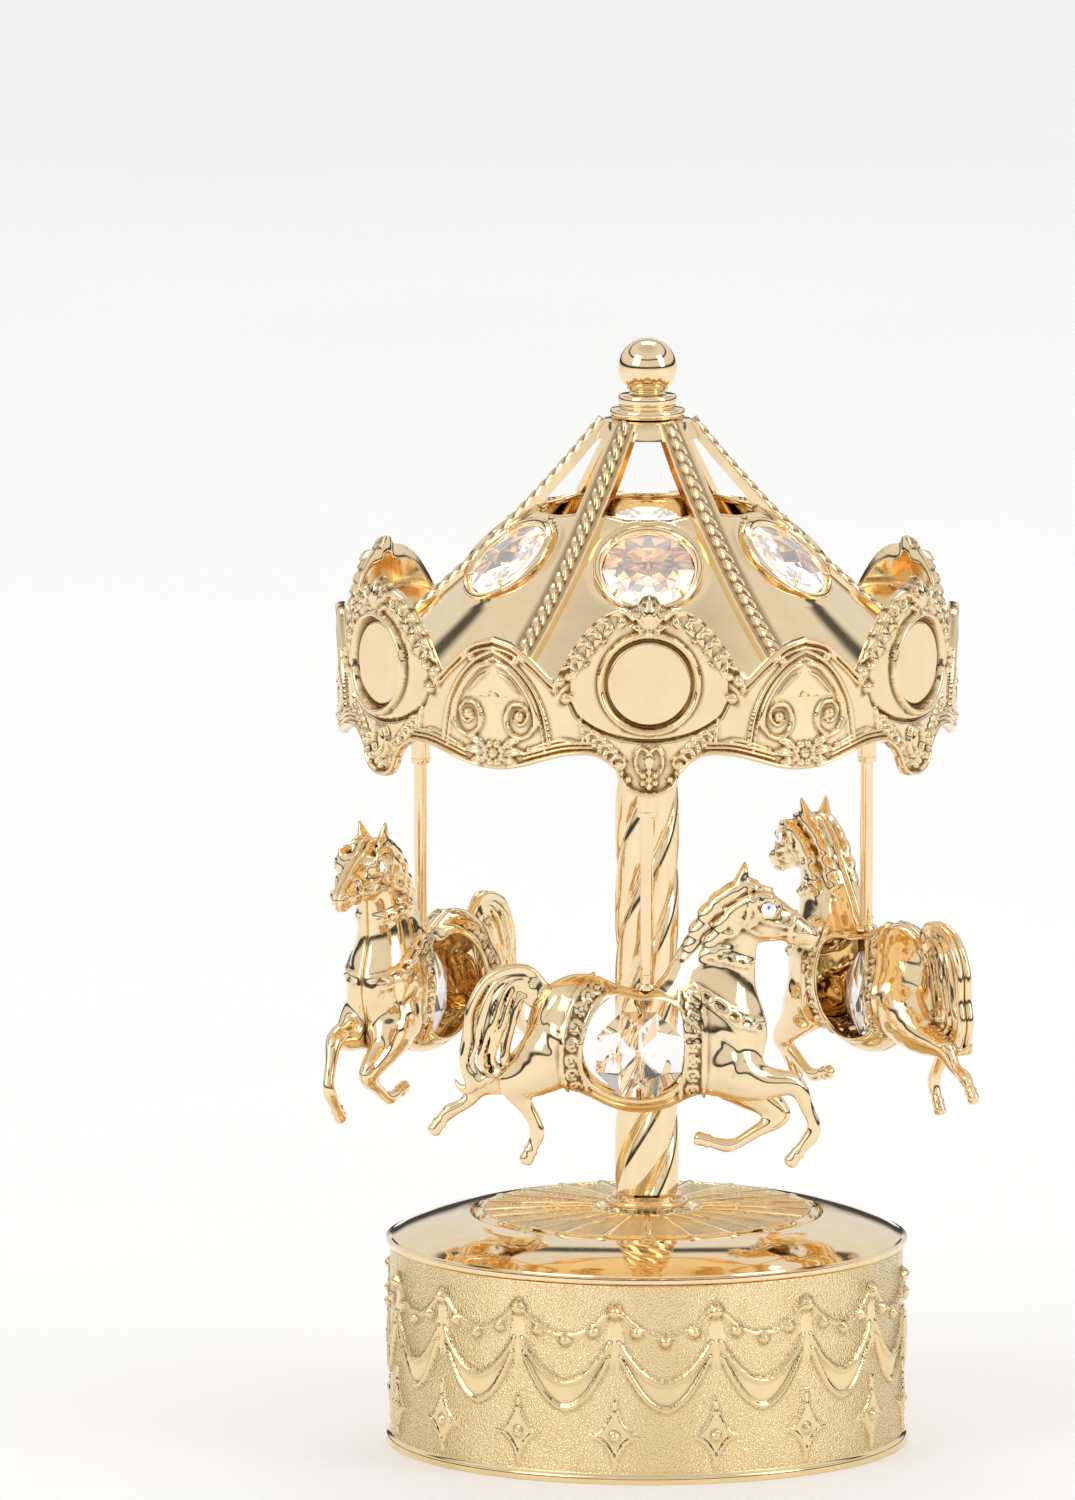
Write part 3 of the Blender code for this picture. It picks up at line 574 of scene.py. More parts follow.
def make_drum():
    """The drum: a thin shell with one swag of relief repeated round it."""
    half = math.pi * DRUM_RADIUS / SWAGS
    top = DRUM_HIGH[2]
    heights = np.linspace(1.7, top - 0.35, SWAG_ROWS)
    across = (np.arange(SWAG_COLUMNS) / SWAG_COLUMNS * 2 - 1) * half
    u, v = np.meshgrid(across, heights)
    height, ground = drum_relief(u, v, half)
    rim = DRUM_HIGH[0]
    edge_rows = [(DRUM_INSIDE, top), (DRUM_INSIDE, 0.0), (rim - 0.1, 0.0), (rim, 0.12), (rim, 1.0)]
    edge_rows += [(rim - 0.15, 1.3), (DRUM_GROUND, 1.5)]
    top_rows = [(DRUM_GROUND, top - 0.1), (DRUM_GROUND - 0.2, top)]
    radii = [np.full(SWAG_COLUMNS, radius) for radius, _ in edge_rows]
    radii += [DRUM_GROUND + row for row in height]
    radii += [np.full(SWAG_COLUMNS, radius) for radius, _ in top_rows]
    levels = [z for _, z in edge_rows] + list(heights) + [z for _, z in top_rows]
    radii = np.tile(np.array(radii), (1, SWAGS))
    columns = SWAG_COLUMNS * SWAGS
    angles = np.radians(-90 + SWAG_KNOT + np.arange(columns) * 360 / columns)
    levels = np.repeat(np.array(levels)[:, None], columns, 1)
    mesh = ring_mesh("base_drum_shell", np.stack([radii * np.cos(angles), radii * np.sin(angles), levels], 2))
    stamped = slice(len(edge_rows), len(edge_rows) + SWAG_ROWS)
    # The hollows of the swag relief get painted brown shade.
    for name, swag in (("stipple", ground), ("painted_shade", recesses(height, 2, 0.34, wrap=True))):
        values = np.zeros(radii.shape)
        values[stamped] = np.tile(swag, (1, SWAGS))
        set_values(mesh, name, values)
    piece("base_drum_shell", mesh, STAMPED, "base", ["base_drum"])


def make_cover():
    """The cover: a polished cone with a rolled lip and an open middle."""
    edge = COVER_HIGH[0]
    slope = curve([(27.15, 35.42), (30.0, 35.1), (33.5, 34.3), (37.0, 33.1), (39.3, 32.0)], 8)
    lip = [(39.45, 31.75), (39.7, 31.68), (edge, 31.62), (edge + 0.05, 31.3), (edge, 30.95)]
    inside = [(edge - 0.25, 30.75), (38.6, 30.75), (38.4, 31.2), (33.0, 33.3), (28.4, 34.0)]
    inside += [(28.4, 31.3), (3.2, 31.3), (3.2, 32.1), (27.15, 32.1)]
    mesh = turned_mesh("top_cover_shell", [*slope, *lip, *inside], 192)
    piece("top_cover_shell", mesh, POLISHED, "base", ["top_cover"])


def make_disc():
    """The turntable disc: ribs run out from the pole over a matted ground."""
    per_rib = 20
    columns = DISC_RIBS * per_rib
    radii = np.concatenate([np.linspace(DISC_HUB, DISC_EDGE, 60), [DISC_EDGE + 0.35]])[:, None]
    angles = np.radians(np.arange(columns) * 360 / columns)
    from_rib = np.abs((np.arange(columns) + per_rib / 2) % per_rib - per_rib / 2) / per_rib
    across = from_rib * 2 * math.pi / DISC_RIBS * radii
    height = 0.34 * np.sqrt(np.clip(1 - (across / (0.32 + 0.016 * radii)) ** 2, 0, 1))
    outer_bead, inner_bead = DISC_EDGE - 0.6, DISC_HUB + 0.6
    for bead in (outer_bead, inner_bead):
        height = np.maximum(height, 0.3 * np.sqrt(np.clip(1 - ((radii - bead) / 0.5) ** 2, 0, 1)))
    ground = (height < 0.04) & (radii < outer_bead - 0.3) & (radii > inner_bead + 0.4)
    level = 36.0 - 0.4 * ((radii - 7.0) / 19.0) ** 1.5
    bore = POLE_RADIUS - 2.5
    under = [(26.75, 35.2), (26.7, 34.3), (4.5, 34.2), (4.5, 32.9), (bore, 32.9), (bore, 36.0), (7.2, 36.0)]
    under = np.array(under)
    levels = np.vstack([level + height, np.repeat(under[:, 1:], columns, 1)])
    radii = np.vstack([radii, under[:, :1]])
    mesh = ring_mesh("ribbed_disc", np.stack([radii * np.cos(angles), radii * np.sin(angles), levels], 2))
    set_values(mesh, "stipple", np.concatenate([ground, np.zeros((len(under), columns))]))
    piece("ribbed_disc", mesh, STAMPED, "carousel", ["turntable_disc"])


def make_pole():
    """The twisted pole, with round lobes between sharp valleys, and the stepped ring at its foot."""
    sides, levels = 128, 240
    angles = np.arange(sides) * 360 / sides
    heights = np.linspace(POLE_LOW[2], POLE_HIGH[2], levels)
    turn = (angles[None, :] - 360 * heights[:, None] / POLE_PITCH) * POLE_LOBES
    wave = np.abs(np.sin(np.radians(turn / 2)))
    radii = POLE_RADIUS - 0.75 * (1 - wave) ** 2.6 - 0.1 * (1 - wave)
    bore = np.full((1, sides), POLE_BORE)
    radii = np.vstack([bore, radii, bore])
    heights = np.concatenate([heights[:1], heights, heights[-1:]])[:, None]
    cosines, sines = np.cos(np.radians(angles)), np.sin(np.radians(angles))
    grid = np.stack([radii * cosines, radii * sines, np.repeat(heights, sides, 1)], 2)
    mesh = ring_mesh("twisted_pole", grid)
    mesh.set_sharp_from_angle(angle=math.radians(60))
    golden("twisted_pole", mesh, ["pole"])
    high = FOOT_HIGH[2]
    steps = [(POLE_BORE, high), (5.35, high), (5.55, high - 0.15), (5.55, high - 0.7), (5.7, high - 0.85)]
    foot = [*steps, *arc((6.2, 37.1), 0.35, 0.45, range(90, -91, -20)), (6.2, 36.55), (POLE_BORE, 36.55)]
    mesh = turned_mesh("stepped_foot_ring", foot, 96)
    golden("stepped_foot_ring", mesh, ["pole_foot_ring"])


# ---------------------------------------------------------------- canopy

BOSS_HEIGHT = 123.8
BOSS_RADIUS = 6.95
# Half of a valance section's outline, as places across from its medallion's middle and their heights
VALANCE_TOP = [(0, 137.2), (1.0, 136.9), (1.8, 135.9), (3.0, 135.6), (5.0, 135.2), (8.0, 133.5)]
VALANCE_TOP += [(11.0, 130.3), (13.4, 126.6), (14.6, 124.6), (15.6, 124.2), (18.0, 126.3), (21.5, 129.0)]
VALANCE_TOP += [(25.2, 130.1)]
VALANCE_BOTTOM = [(0, 106.4), (2.0, 106.75), (3.8, 107.9), (4.8, 109.9), (6.3, 111.4), (8.9, 112.6)]
VALANCE_BOTTOM += [(13.0, 112.4), (17.0, 111.4), (20.0, 110.5), (22.5, 110.0), (25.2, 109.8)]


def laurel(relief, path, count, width, length, side, lean=0.6):
    """Leaves in two rows along a path, their tips towards its end, the outer row on the given side."""
    line = curve(path, 10)
    for i in range(count):
        at = int((i + 0.5) / count * (len(line) - 2))
        along = line[at + 1] - line[at]
        along /= np.hypot(*along)
        normal = np.array((-along[1], along[0])) * side
        for row, share in ((1, 1.0), (-1, 0.75)):
            tip = line[at] + (along * 0.8 + normal * row * lean) * length * share
            relief.leaf(line[at], tip, width * share, 0.55 - 0.05 * (i % 2), bend=0.12 * row * side)


def scroll(relief, centre, radius, start, turns, sign, half_width, height):
    """A spiral moulding that winds into a ball at its centre."""
    t = np.linspace(0, 1, 30)
    angle = np.radians(start + sign * 360 * turns * t)
    reach = radius * (1 - 0.72 * t)
    line = np.stack([centre[0] + reach * np.cos(angle), centre[1] + reach * np.sin(angle)], 1)
    relief.bead(line, half_width, height)
    relief.dome(centre, radius * 0.34, height * 1.5)


def medallion(relief):
    """The round polished boss with its laurels, palmette, ear balls and lower spray."""
    u, v = relief.u, relief.v
    from_centre = np.hypot(u, v - BOSS_HEIGHT)
    half_skirt = [(6.2, 116.0), (10.7, 118.3), (12.2, 120.6)]
    skirt = curve([*((-x, z) for x, z in half_skirt[::-1]), (0, 115.1), *half_skirt], 8)
    above = v - np.interp(u, skirt[:, 0], skirt[:, 1])
    outline = np.interp(np.abs(u), [x for x, _ in VALANCE_TOP], [z for _, z in VALANCE_TOP])
    shield = np.minimum(np.minimum(above, outline - v - 0.4), 12.4 - np.abs(u))
    relief.plateau(shield, 0.42, 0.3)
    relief.base += 0.3 * np.clip(1 - (from_centre / 11.5) ** 2, 0, 1) * (shield > 0)
    relief.bead(arc((0, BOSS_HEIGHT), BOSS_RADIUS + 0.5, BOSS_RADIUS + 0.5, range(0, 361, 10)), 0.52, 1.02)
    radius = VALANCE_RADIUS - VALANCE_WALL
    flat = (radius + 0.62) / np.cos(u / radius) - radius
    inward = BOSS_RADIUS - from_centre
    plate = flat - 0.55 * np.clip(inward / 0.2, 0, 1) + 0.3 * np.clip((inward - 0.5) / 0.25, 0, 1)
    relief.base = np.where(inward > 0, plate, relief.base)
    relief.detail[inward > 0] = 0
    relief.groove(skirt, 0.25, 0.5)
    for side in (-1, 1):
        mirror = np.array((side, 1))
        laurel(relief, mirror * [(3.0, 134.7), (7.2, 132.3), (10.6, 128.6), (12.8, 125.2)], 6, 1.8, 3.3, side)
        laurel(relief, mirror * [(9.8, 116.4), (7.4, 114.2), (5.2, 111.9)], 5, 1.15, 2.0, -side)
        for x, z, size in ((13.9, 123.9, 0.95), (12.5, 124.6, 0.7), (12.9, 121.4, 0.95), (14.6, 122.6, 0.6)):
            relief.dome((side * x, z), size, 1.05)
        for x, z in ((6.9, 130.2), (8.6, 128.6), (9.6, 126.6)):
            relief.dome((side * x, z), 0.38, 1.0)
        relief.bead(mirror * [(10.7, 118.2), (10.3, 115.1)], 0.28, 0.5)
        scroll(relief, (side * 4.6, 111.6), 1.25, 90 - side * 60, 0.9, side, 0.36, 0.75)
        # The palmette: an outer volute and curled lobes
        eyebrow = curve(mirror * [(2.4, 133.6), (3.5, 134.7), (5.0, 135.0), (6.8, 134.2)], 6)
        relief.bead(eyebrow, 0.5, 0.95, ends=0.5)
        relief.leaf((0, 131.9), (side * 1.9, 136.1), 1.7, 1.0, bend=0.1 * side)
        relief.leaf((0, 131.7), (side * 3.1, 134.7), 1.7, 0.9, bend=0.14 * side)
        relief.leaf((side * 0.5, 131.4), (side * 3.0, 132.6), 1.2, 0.8, bend=0.12 * side)
        # The shell under the skirt and the lower lip with its rosette
        shell = curve(mirror * [(0.15, 113.4), (1.2, 114.0), (2.0, 112.9), (2.1, 111.3), (1.7, 110.3)], 6)
        relief.bead(shell, 0.33, 0.7)
        lip = curve(mirror * [(0, 106.75), (1.9, 107.1), (3.5, 108.0), (4.4, 109.4), (4.3, 110.2)], 6)
        relief.bead(lip, 0.42, 0.8)
        relief.dome((side * 3.2, 109.2), 0.62, 0.85)
    relief.leaf((0, 131.6), (0, 137.1), 1.9, 1.15)
    relief.dome((0, 131.4), 0.62, 1.15)
    relief.leaf((0, 110.6), (0, 113.9), 1.6, 0.45)
    for petal in arc((0, 109.2), 1.15, 1.15, range(30, 360, 60)):
        relief.dome(petal, 0.55, 0.75)
    relief.dome((0, 109.2), 0.6, 0.95)


def small_arch(relief, middle, side):
    """Half of a small arch: its gothic mouldings, the C-scroll and the rosette at its foot."""

    def at(from_middle, height):
        return (middle - side * from_middle, height)

    outer = curve([at(0.0, 129.6), at(3.6, 128.55), at(7.2, 125.9), at(9.4, 123.9), at(10.6, 123.0)], 8)
    inner = curve([at(0.0, 128.0), at(3.2, 126.4), at(6.4, 123.2), at(8.5, 119.0), at(9.5, 113.9)], 8)
    relief.bead(outer, 0.42, 0.75)
    relief.bead(outer - (0, 1.05), 0.26, 0.5)
    relief.bead(inner, 0.36, 0.62)
    relief.bead(inner + (side * 0.75, -0.75), 0.24, 0.42)
    for point in (at(4.7, 127.2), at(3.9, 126.7)):
        relief.dome(point, 0.62, 0.8)
    relief.bead([at(5.4, 126.4), at(5.0, 127.9)], 0.25, 0.7)
    arm = [at(0.7, 126.0), at(2.8, 125.3), at(5.2, 122.9), at(6.9, 119.9), at(7.3, 117.4), at(6.2, 115.5)]
    tail = [at(6.2, 115.5), at(4.5, 114.9), at(2.7, 116.0), at(2.25, 118.0), at(3.2, 119.8), at(4.9, 120.1)]
    curl = curve([at(4.9, 120.1), at(6.0, 118.9), at(5.6, 117.5), at(4.6, 116.9), at(3.7, 117.6)], 8)
    relief.bead(curve(arm, 8), 0.62, 0.72, ends=0.6)
    relief.bead(curve(tail, 8), 0.44, 0.68)
    relief.bead(curl, 0.3, 0.55)
    relief.bead(curve([at(0.9, 124.6), at(2.6, 123.6), at(4.6, 121.4)], 6), 0.3, 0.45, ends=0.3)
    relief.dome(at(4.5, 118.2), 0.85, 1.0)
    for petal in arc((middle, 112.4), 1.55, 1.45, np.arange(22.5, 360, 45)):
        relief.dome(petal, 0.66, 0.72)
    relief.dome((middle, 112.4), 0.85, 1.0)
    for root, tip, width in (
        (at(1.6, 113.2), at(4.9, 114.6), 1.5),
        (at(1.8, 112.2), at(5.7, 112.6), 1.6),
        (at(1.6, 111.2), at(4.4, 110.9), 1.3),
    ):
        relief.leaf(root, tip, width, 0.72, bend=-0.1 * side)
    relief.dome(at(6.2, 113.3), 0.5, 0.8)


def lower_mouldings(relief):
    """The scalloped edge: a bead along it and two finer ones above, between the lip and the rosette."""
    for side in (-1, 1):
        mirror = np.array((side, 1))
        edge = mirror * VALANCE_BOTTOM[3:]
        for lift, half_width, height in ((0.42, 0.42, 0.75), (1.35, 0.24, 0.5), (2.05, 0.3, 0.55)):
            line = edge + (0, lift)
            line = line[np.abs(line[:, 0]) > 5.0 + lift * 1.6] if lift > 1 else line
            line = line[np.abs(line[:, 0]) < 25.2 if lift < 1 else np.abs(line[:, 0]) < 20.4]
            relief.bead(curve(line, 6), half_width, height)
        hood = curve(mirror * [(11.3, 114.6), (13.5, 115.0), (16.6, 114.2), (19.2, 113.2)], 6)
        relief.bead(hood, 0.3, 0.5)


def make_valance():
    """Six stamped sections share one mesh; each runs from the middle of one small arch to the next."""
    columns, rows = 300, 150
    half_angle = 180 / SIDES
    radius = VALANCE_RADIUS - VALANCE_WALL
    half = math.radians(half_angle) * VALANCE_RADIUS
    across = np.linspace(-half, half, columns)
    high = np.interp(np.abs(across), *curve(VALANCE_TOP, 6).T)
    low = np.interp(np.abs(across), *curve(VALANCE_BOTTOM, 6).T)
    share = np.linspace(0, 1, rows)[:, None]
    u = np.repeat(across[None, :], rows, 0)
    v = low + (high - low) * share
    relief = Relief(u, v)
    lower_mouldings(relief)
    for side in (-1, 1):
        small_arch(relief, side * half, side)
    medallion(relief)
    edge = np.minimum(v - low, high - v)
    rounded = 0.5 * np.clip(1 - edge / 0.3, 0, 1) ** 2
    angles = np.radians(-90 + across / half * half_angle)
    raised = relief.total()
    outer = radius + raised - rounded - 0.3 * (1 - share)
    inner_share = np.linspace(1, 0, 12)[:, None]
    inner_v = low + (high - low) * inner_share
    inner = np.repeat(radius - 0.8 - 0.3 * (1 - inner_share), columns, 1)
    radii = np.vstack([outer, inner])
    levels = np.vstack([v, inner_v])
    grid = np.stack([radii * np.cos(angles), radii * np.sin(angles), levels], 2)
    count = len(grid)
    quads = grid_quads(count, columns, True, False)
    points = grid.reshape(-1, 3)
    mesh = mesh_of("valance_section", points, outward(points, quads))
    # Painted shade: the relief's hollows go brown, all but the flat boss.
    flat = np.hypot(u, v - BOSS_HEIGHT) < BOSS_RADIUS - 0.75
    deep = np.where(flat, 0, recesses(raised, 3, 0.28))
    set_values(mesh, "painted_shade", np.vstack([deep, np.zeros(inner.shape)]))
    close_ends(mesh)
    for side in range(SIDES):
        replaced = ["valance"] if side == 0 else []
        turn = about_axis(side * 360 / SIDES)
        piece(f"valance_section_{side + 1}", mesh, RELIEF_GOLD, "carousel", replaced, turn)


def close_ends(mesh):
    """Fills the two open ends of a section and makes their edges sharp."""
    work = bmesh.new()
    work.from_mesh(mesh)
    border = [edge for edge in work.edges if edge.is_boundary]
    for edge in border:
        edge.smooth = False
    bmesh.ops.holes_fill(work, edges=border, sides=0)
    bmesh.ops.recalc_face_normals(work, faces=work.faces)
    work.to_mesh(mesh)
    work.free()


def roof_height(radius):
    """The roof's height, which falls a little less steeply as it goes out."""
    run = radius - ROOF_TOP_RADIUS
    return ROOF_TOP - 1.25 * run + 0.0079 * run * run


def roof_slope(radius):
    """How far the roof falls for each millimetre out."""
    return 1.25 - 0.0158 * (radius - ROOF_TOP_RADIUS)


def crystal_place(angle):
    """The seat of a roof crystal, facing out of the slope."""
    slope = math.atan(roof_slope(CRYSTAL_CIRCLE))
    x, y = (CRYSTAL_CIRCLE * f(math.radians(angle)) for f in (math.cos, math.sin))
    place = Matrix.Translation(Vector((x, y, roof_height(CRYSTAL_CIRCLE))) * MM)
    return place @ about_axis(angle) @ Matrix.Rotation(slope, 4, "Y")


def make_roof():
    """The sloping shell below the six windows, its ribs, the top flange and the crystals in their rims."""
    per_side = 120
    columns = per_side * SIDES
    angles = -90 + np.arange(columns) * 360 / columns
    from_panel = np.abs((angles + 90 + 30) % 60 - 30)
    start = WINDOW_OUTER + 0.9 * np.cos(np.radians(from_panel * 3)) ** 2
    share = np.linspace(0, 1, 60)[:, None]
    radii = start + (ROOF_EDGE_RADIUS - start) * share
    levels = roof_height(radii)
    seat = np.hypot((radii - CRYSTAL_CIRCLE) * 1.39, np.radians(from_panel) * radii)
    levels = levels + 0.55 * np.clip(1 - np.abs(seat - 8.6) / 1.6, 0, 1) ** 2
    inner = radii[::-1] - 0.5
    radii = np.vstack([radii, inner])
    levels = np.vstack([levels, roof_height(inner + 0.5) - ROOF_WALL])
    turn = np.radians(angles)
    mesh = ring_mesh("roof_shell", np.stack([radii * np.cos(turn), radii * np.sin(turn), levels], 2))
    pierce_roof(mesh)
    golden("roof_shell", mesh, ["canopy_roof"])
    make_ribs()
    flange = [(2.0, 158.4), (6.6, 158.25), (7.0, 158.0), (7.9, 156.6)]
    flange += [(8.3, 155.6), (7.6, 155.7), (6.2, 157.3), (2.0, 157.4)]
    golden("roof_top_flange", turned_mesh("roof_top_flange", flange, 96))
    make_roof_crystals()


def pierce_roof(mesh):
    """Opens a hole for each crystal through both skins; the crystal's rim hides its raw edge."""
    work = bmesh.new()
    work.from_mesh(mesh)
    for side in range(SIDES):
        seat = crystal_place(-90 + side * 360 / SIDES).inverted()
        inside = [face for face in work.faces if (seat @ face.calc_center_median()).xy.length < 7.2 * MM]
        inside = [face for face in inside if abs((seat @ face.calc_center_median()).z) < 4 * MM]
        bmesh.ops.delete(work, geom=inside, context="FACES")
    work.to_mesh(mesh)
    work.free()


def make_ribs():
    """A rib over each corner of the roof: a twisted rope between two flat flanges."""
    stations, columns = 260, 33
    radii = np.linspace(6.4, 46.6, stations)
    slope = np.arctan(roof_slope(radii))
    run = np.concatenate([[0], np.cumsum(np.diff(radii) / np.cos(slope[1:]))])
    across = np.linspace(-2.45, 2.45, columns)
    rope = 1.08
    pitch = 2.3
    width = np.interp(run, (0, 8, run[-1]), (0.78, 0.92, 1.0))
    twist = 0.5 + 0.5 * np.cos(2 * math.pi * (run[:, None] / pitch - across * 0.5))
    in_rope = np.abs(across) < rope
    round_part = np.sqrt(np.clip(1 - (across / rope) ** 2, 0, 1)) * rope
    height = np.where(in_rope, 0.28 + round_part * (0.72 + 0.36 * twist**0.6), 0.5)
    height = np.where(np.abs(across) > 1.9, 0.62, height)
    sideways = across * width[:, None]
    base = roof_height(radii)[:, None]
    x = radii[:, None] + height * np.sin(slope)[:, None]
    z = base + height * np.cos(slope)[:, None]
    under_x = np.repeat((radii - 0.4)[:, None], columns, 1)
    under_z = np.repeat(base - 0.6, columns, 1)
    sides = np.hstack([sideways, sideways[:, ::-1]])
    grid = np.stack([np.hstack([x, under_x]), sides, np.hstack([z, under_z])], 2)
    first, last = grid[:1].mean(1, keepdims=True), grid[-1:].mean(1, keepdims=True)
    count = grid.shape[1]
    grid = np.vstack([np.repeat(first, count, 1), grid, np.repeat(last, count, 1)])
    points = grid.reshape(-1, 3)
    mesh = mesh_of("roof_rib", points, outward(points, grid_quads(len(grid), count, False, True)))
    # Painted shade in the rope's twist grooves and the channels beside it.
    groove = np.where(in_rope, 0.75 * (1 - twist) ** 2, np.where(np.abs(across) < 1.75, 0.6, 0.0))
    deep = np.zeros(grid.shape[:2])
    deep[1:-1, :columns] = groove
    set_values(mesh, "painted_shade", deep)
    mesh.set_sharp_from_angle(angle=math.radians(60))
    for side in range(SIDES):
        turn = about_axis(-60 + side * 360 / SIDES)
        piece(f"roof_rib_{side + 1}", mesh, RELIEF_GOLD, "carousel", matrix=turn)


def gem_mesh(name, sides, radius, crown, pavilion):
    """A cut stone: a low point in front with kite facets, a thin girdle and a pointed back."""
    points = [(0, 0, crown)]
    for share, height, turn in ((0.55, 0.62, 0.5), (1.0, 0.14, 0.0), (1.0, -0.08, 0.0)):
        for i in range(sides):
            angle = math.radians((i + turn) * 360 / sides)
            reach = radius * share
            points.append((reach * math.cos(angle), reach * math.sin(angle), crown * height))
    for share, depth, turn in ((0.62, 0.52, 0.5), (0.0, 1.0, 0.0)):
        for i in range(sides if share else 1):
            angle = math.radians((i + turn) * 360 / sides)
            reach = radius * share
            points.append((reach * math.cos(angle), reach * math.sin(angle), -pavilion * depth))
    return hull_mesh(name, points)


def make_roof_crystals():
    """Each roof crystal in its turned rim, held by four prongs."""
    gem = gem_mesh("roof_crystal", 12, CRYSTAL_RADIUS, 2.2, 2.4)
    wall = [(7.1, -0.9), (7.1, 0.35), (7.35, 0.75), (7.75, 0.95)]
    wall += [(8.2, 0.75), (8.45, 0.3), (8.5, -0.4), (8.2, -0.9)]
    rim = turned_mesh("crystal_rim", wall, 96, 50)
    bend = curve([(7.5, 0, 0.6), (7.1, 0, 1.15), (6.4, 0, 1.2), (6.0, 0, 0.95)], 5)
    prong = tube_mesh("crystal_prong", bend, 0.32, 10)
    for side in range(SIDES):
        turn = crystal_place(-90 + side * 360 / SIDES)
        number = side + 1
        replaced = [f"roof_crystal_{number}"]
        piece(f"canopy_crystal_{number}", gem, ROOF_CRYSTAL, "carousel", replaced, turn)
        golden(f"crystal_rim_{number}", rim, matrix=turn)
        for i in range(4):
            place = turn @ about_axis(45 + 90 * i)
            golden(f"crystal_prong_{number}_{i + 1}", prong, matrix=place)


def make_ceiling():
    """The disc that the rods hang from, with its edge broken."""
    low, high = CEILING_LOW[2], CEILING_HIGH[2]
    edge, bore, broken = CEILING_HIGH[0] - 0.2, 2.0, 0.3
    profile = [(bore, high), (edge - broken, high), (edge, high - broken)]
    profile += [(edge, low + broken), (edge - broken, low), (bore, low)]
    golden("ceiling_disc", turned_mesh("ceiling_disc", profile, 160), ["ceiling_plate"])


def make_finial():
    """The collar, with two rounded tiers, and the ball on its neck."""
    low, high = COLLAR_LOW[2], COLLAR_HIGH[2]
    lower_tier = arc((5.35, 159.2), 0.45, 0.7, range(80, -81, -20))
    upper_tier = arc((4.25, 161.15), 0.3, 0.8, range(80, -81, -20))
    profile = [(1.6, high), (4.1, high), *upper_tier, (4.0, 160.25), (4.0, 160.0), *lower_tier]
    profile += [(5.2, low), (1.6, low)]
    golden("stepped_collar", turned_mesh("stepped_collar", profile, 96, 40), ["finial_collar"])
    radius = 4.5
    ball = arc((0, BALL_HIGH[2] - radius), radius, radius, range(90, -56, -5))
    ball[0] = (0.0, BALL_HIGH[2])
    neck = [(2.62, 162.3), (2.9, 162.1), (1.2, 162.1), (1.2, BALL_LOW[2]), (0.0, BALL_LOW[2])]
    golden("ball_finial", turned_mesh("ball_finial", [*ball, *neck], 96, 40), ["finial_ball"])


# ---------------------------------------------------------------- horses

# Each limb is a row of joints, (forward from the rod, height) and radius, from the body outwards
EYE = (18.4, 88.9)
NOSTRIL = (24.5, 85.0)
EYE_SIDE = 4.15
NECK_BONES = [((9.0, 75.3), 7.4), ((10.6, 80.6), 5.9), ((12.3, 86.0), 4.6), ((13.4, 89.6), 3.0)]
HEAD_BONES = [((14.9, 89.3), 3.0), ((17.9, 87.6), 3.25), ((21.3, 85.9), 2.55), ((24.1, 84.1), 2.0)]
TAIL_BONES = [((-15.6, 74.4), 1.6), ((-18.8, 77.4), 1.9), ((-21.6, 76.0), 2.5), ((-23.4, 72.2), 3.1)]
TAIL_BONES += [((-24.2, 68.0), 3.2), ((-24.6, 65.2), 2.6), ((-23.8, 63.6), 2.0)]
NEAR_HIND = [((-12.5, 68.0), 5.2), ((-17.0, 63.8), 3.2), ((-20.6, 62.0), 1.75), ((-18.4, 58.6), 1.15)]
NEAR_HIND += [((-16.9, 56.0), 1.0), ((-16.5, 54.2), 1.1), ((-17.2, 52.4), 0.9), ((-18.1, 50.5), 0.9)]
FAR_HIND = [((-12.5, 67.0), 5.0), ((-18.5, 63.0), 3.0), ((-24.8, 61.4), 1.7), ((-26.8, 59.0), 1.1)]
FAR_HIND += [((-28.4, 57.8), 0.95), ((-29.8, 57.2), 1.1), ((-31.0, 55.9), 0.9), ((-32.0, 54.5), 0.85)]
NEAR_FORE = [((12.0, 64.5), 4.2), ((16.8, 62.3), 2.5), ((22.3, 61.9), 1.45), ((24.2, 58.4), 1.0)]
NEAR_FORE += [((25.4, 55.6), 0.95), ((25.0, 54.0), 1.1), ((23.4, 52.0), 0.9), ((22.0, 50.2), 0.85)]
FAR_FORE = [((12.0, 64.0), 4.2), ((15.8, 60.0), 2.4), ((20.4, 56.6), 1.4), ((16.8, 54.2), 1.0)]
FAR_FORE += [((13.6, 52.2), 0.9), ((12.0, 51.9), 1.05), ((10.0, 52.4), 0.85), ((8.2, 52.9), 0.85)]
# The open middle of the body, which the crystal hangs in
WINDOW = [(-9.7, 65.6), (-9.2, 70.4), (-7.6, 73.6), (-5.0, 75.5), (-1.0, 74.9), (2.6, 74.9), (5.0, 73.4)]
WINDOW += [(5.6, 69.5), (5.6, 65.4), (4.8, 62.4), (2.4, 60.4), (-1.6, 59.8), (-5.6, 60.7), (-8.4, 62.6)]


def smooth_min(a, b, blend):
    """The smaller of two distances, rounded where they are within blend of each other."""
    h = np.clip(0.5 + 0.5 * (b - a) / blend, 0, 1)
    return b + (a - b) * h - blend * h * (1 - h)


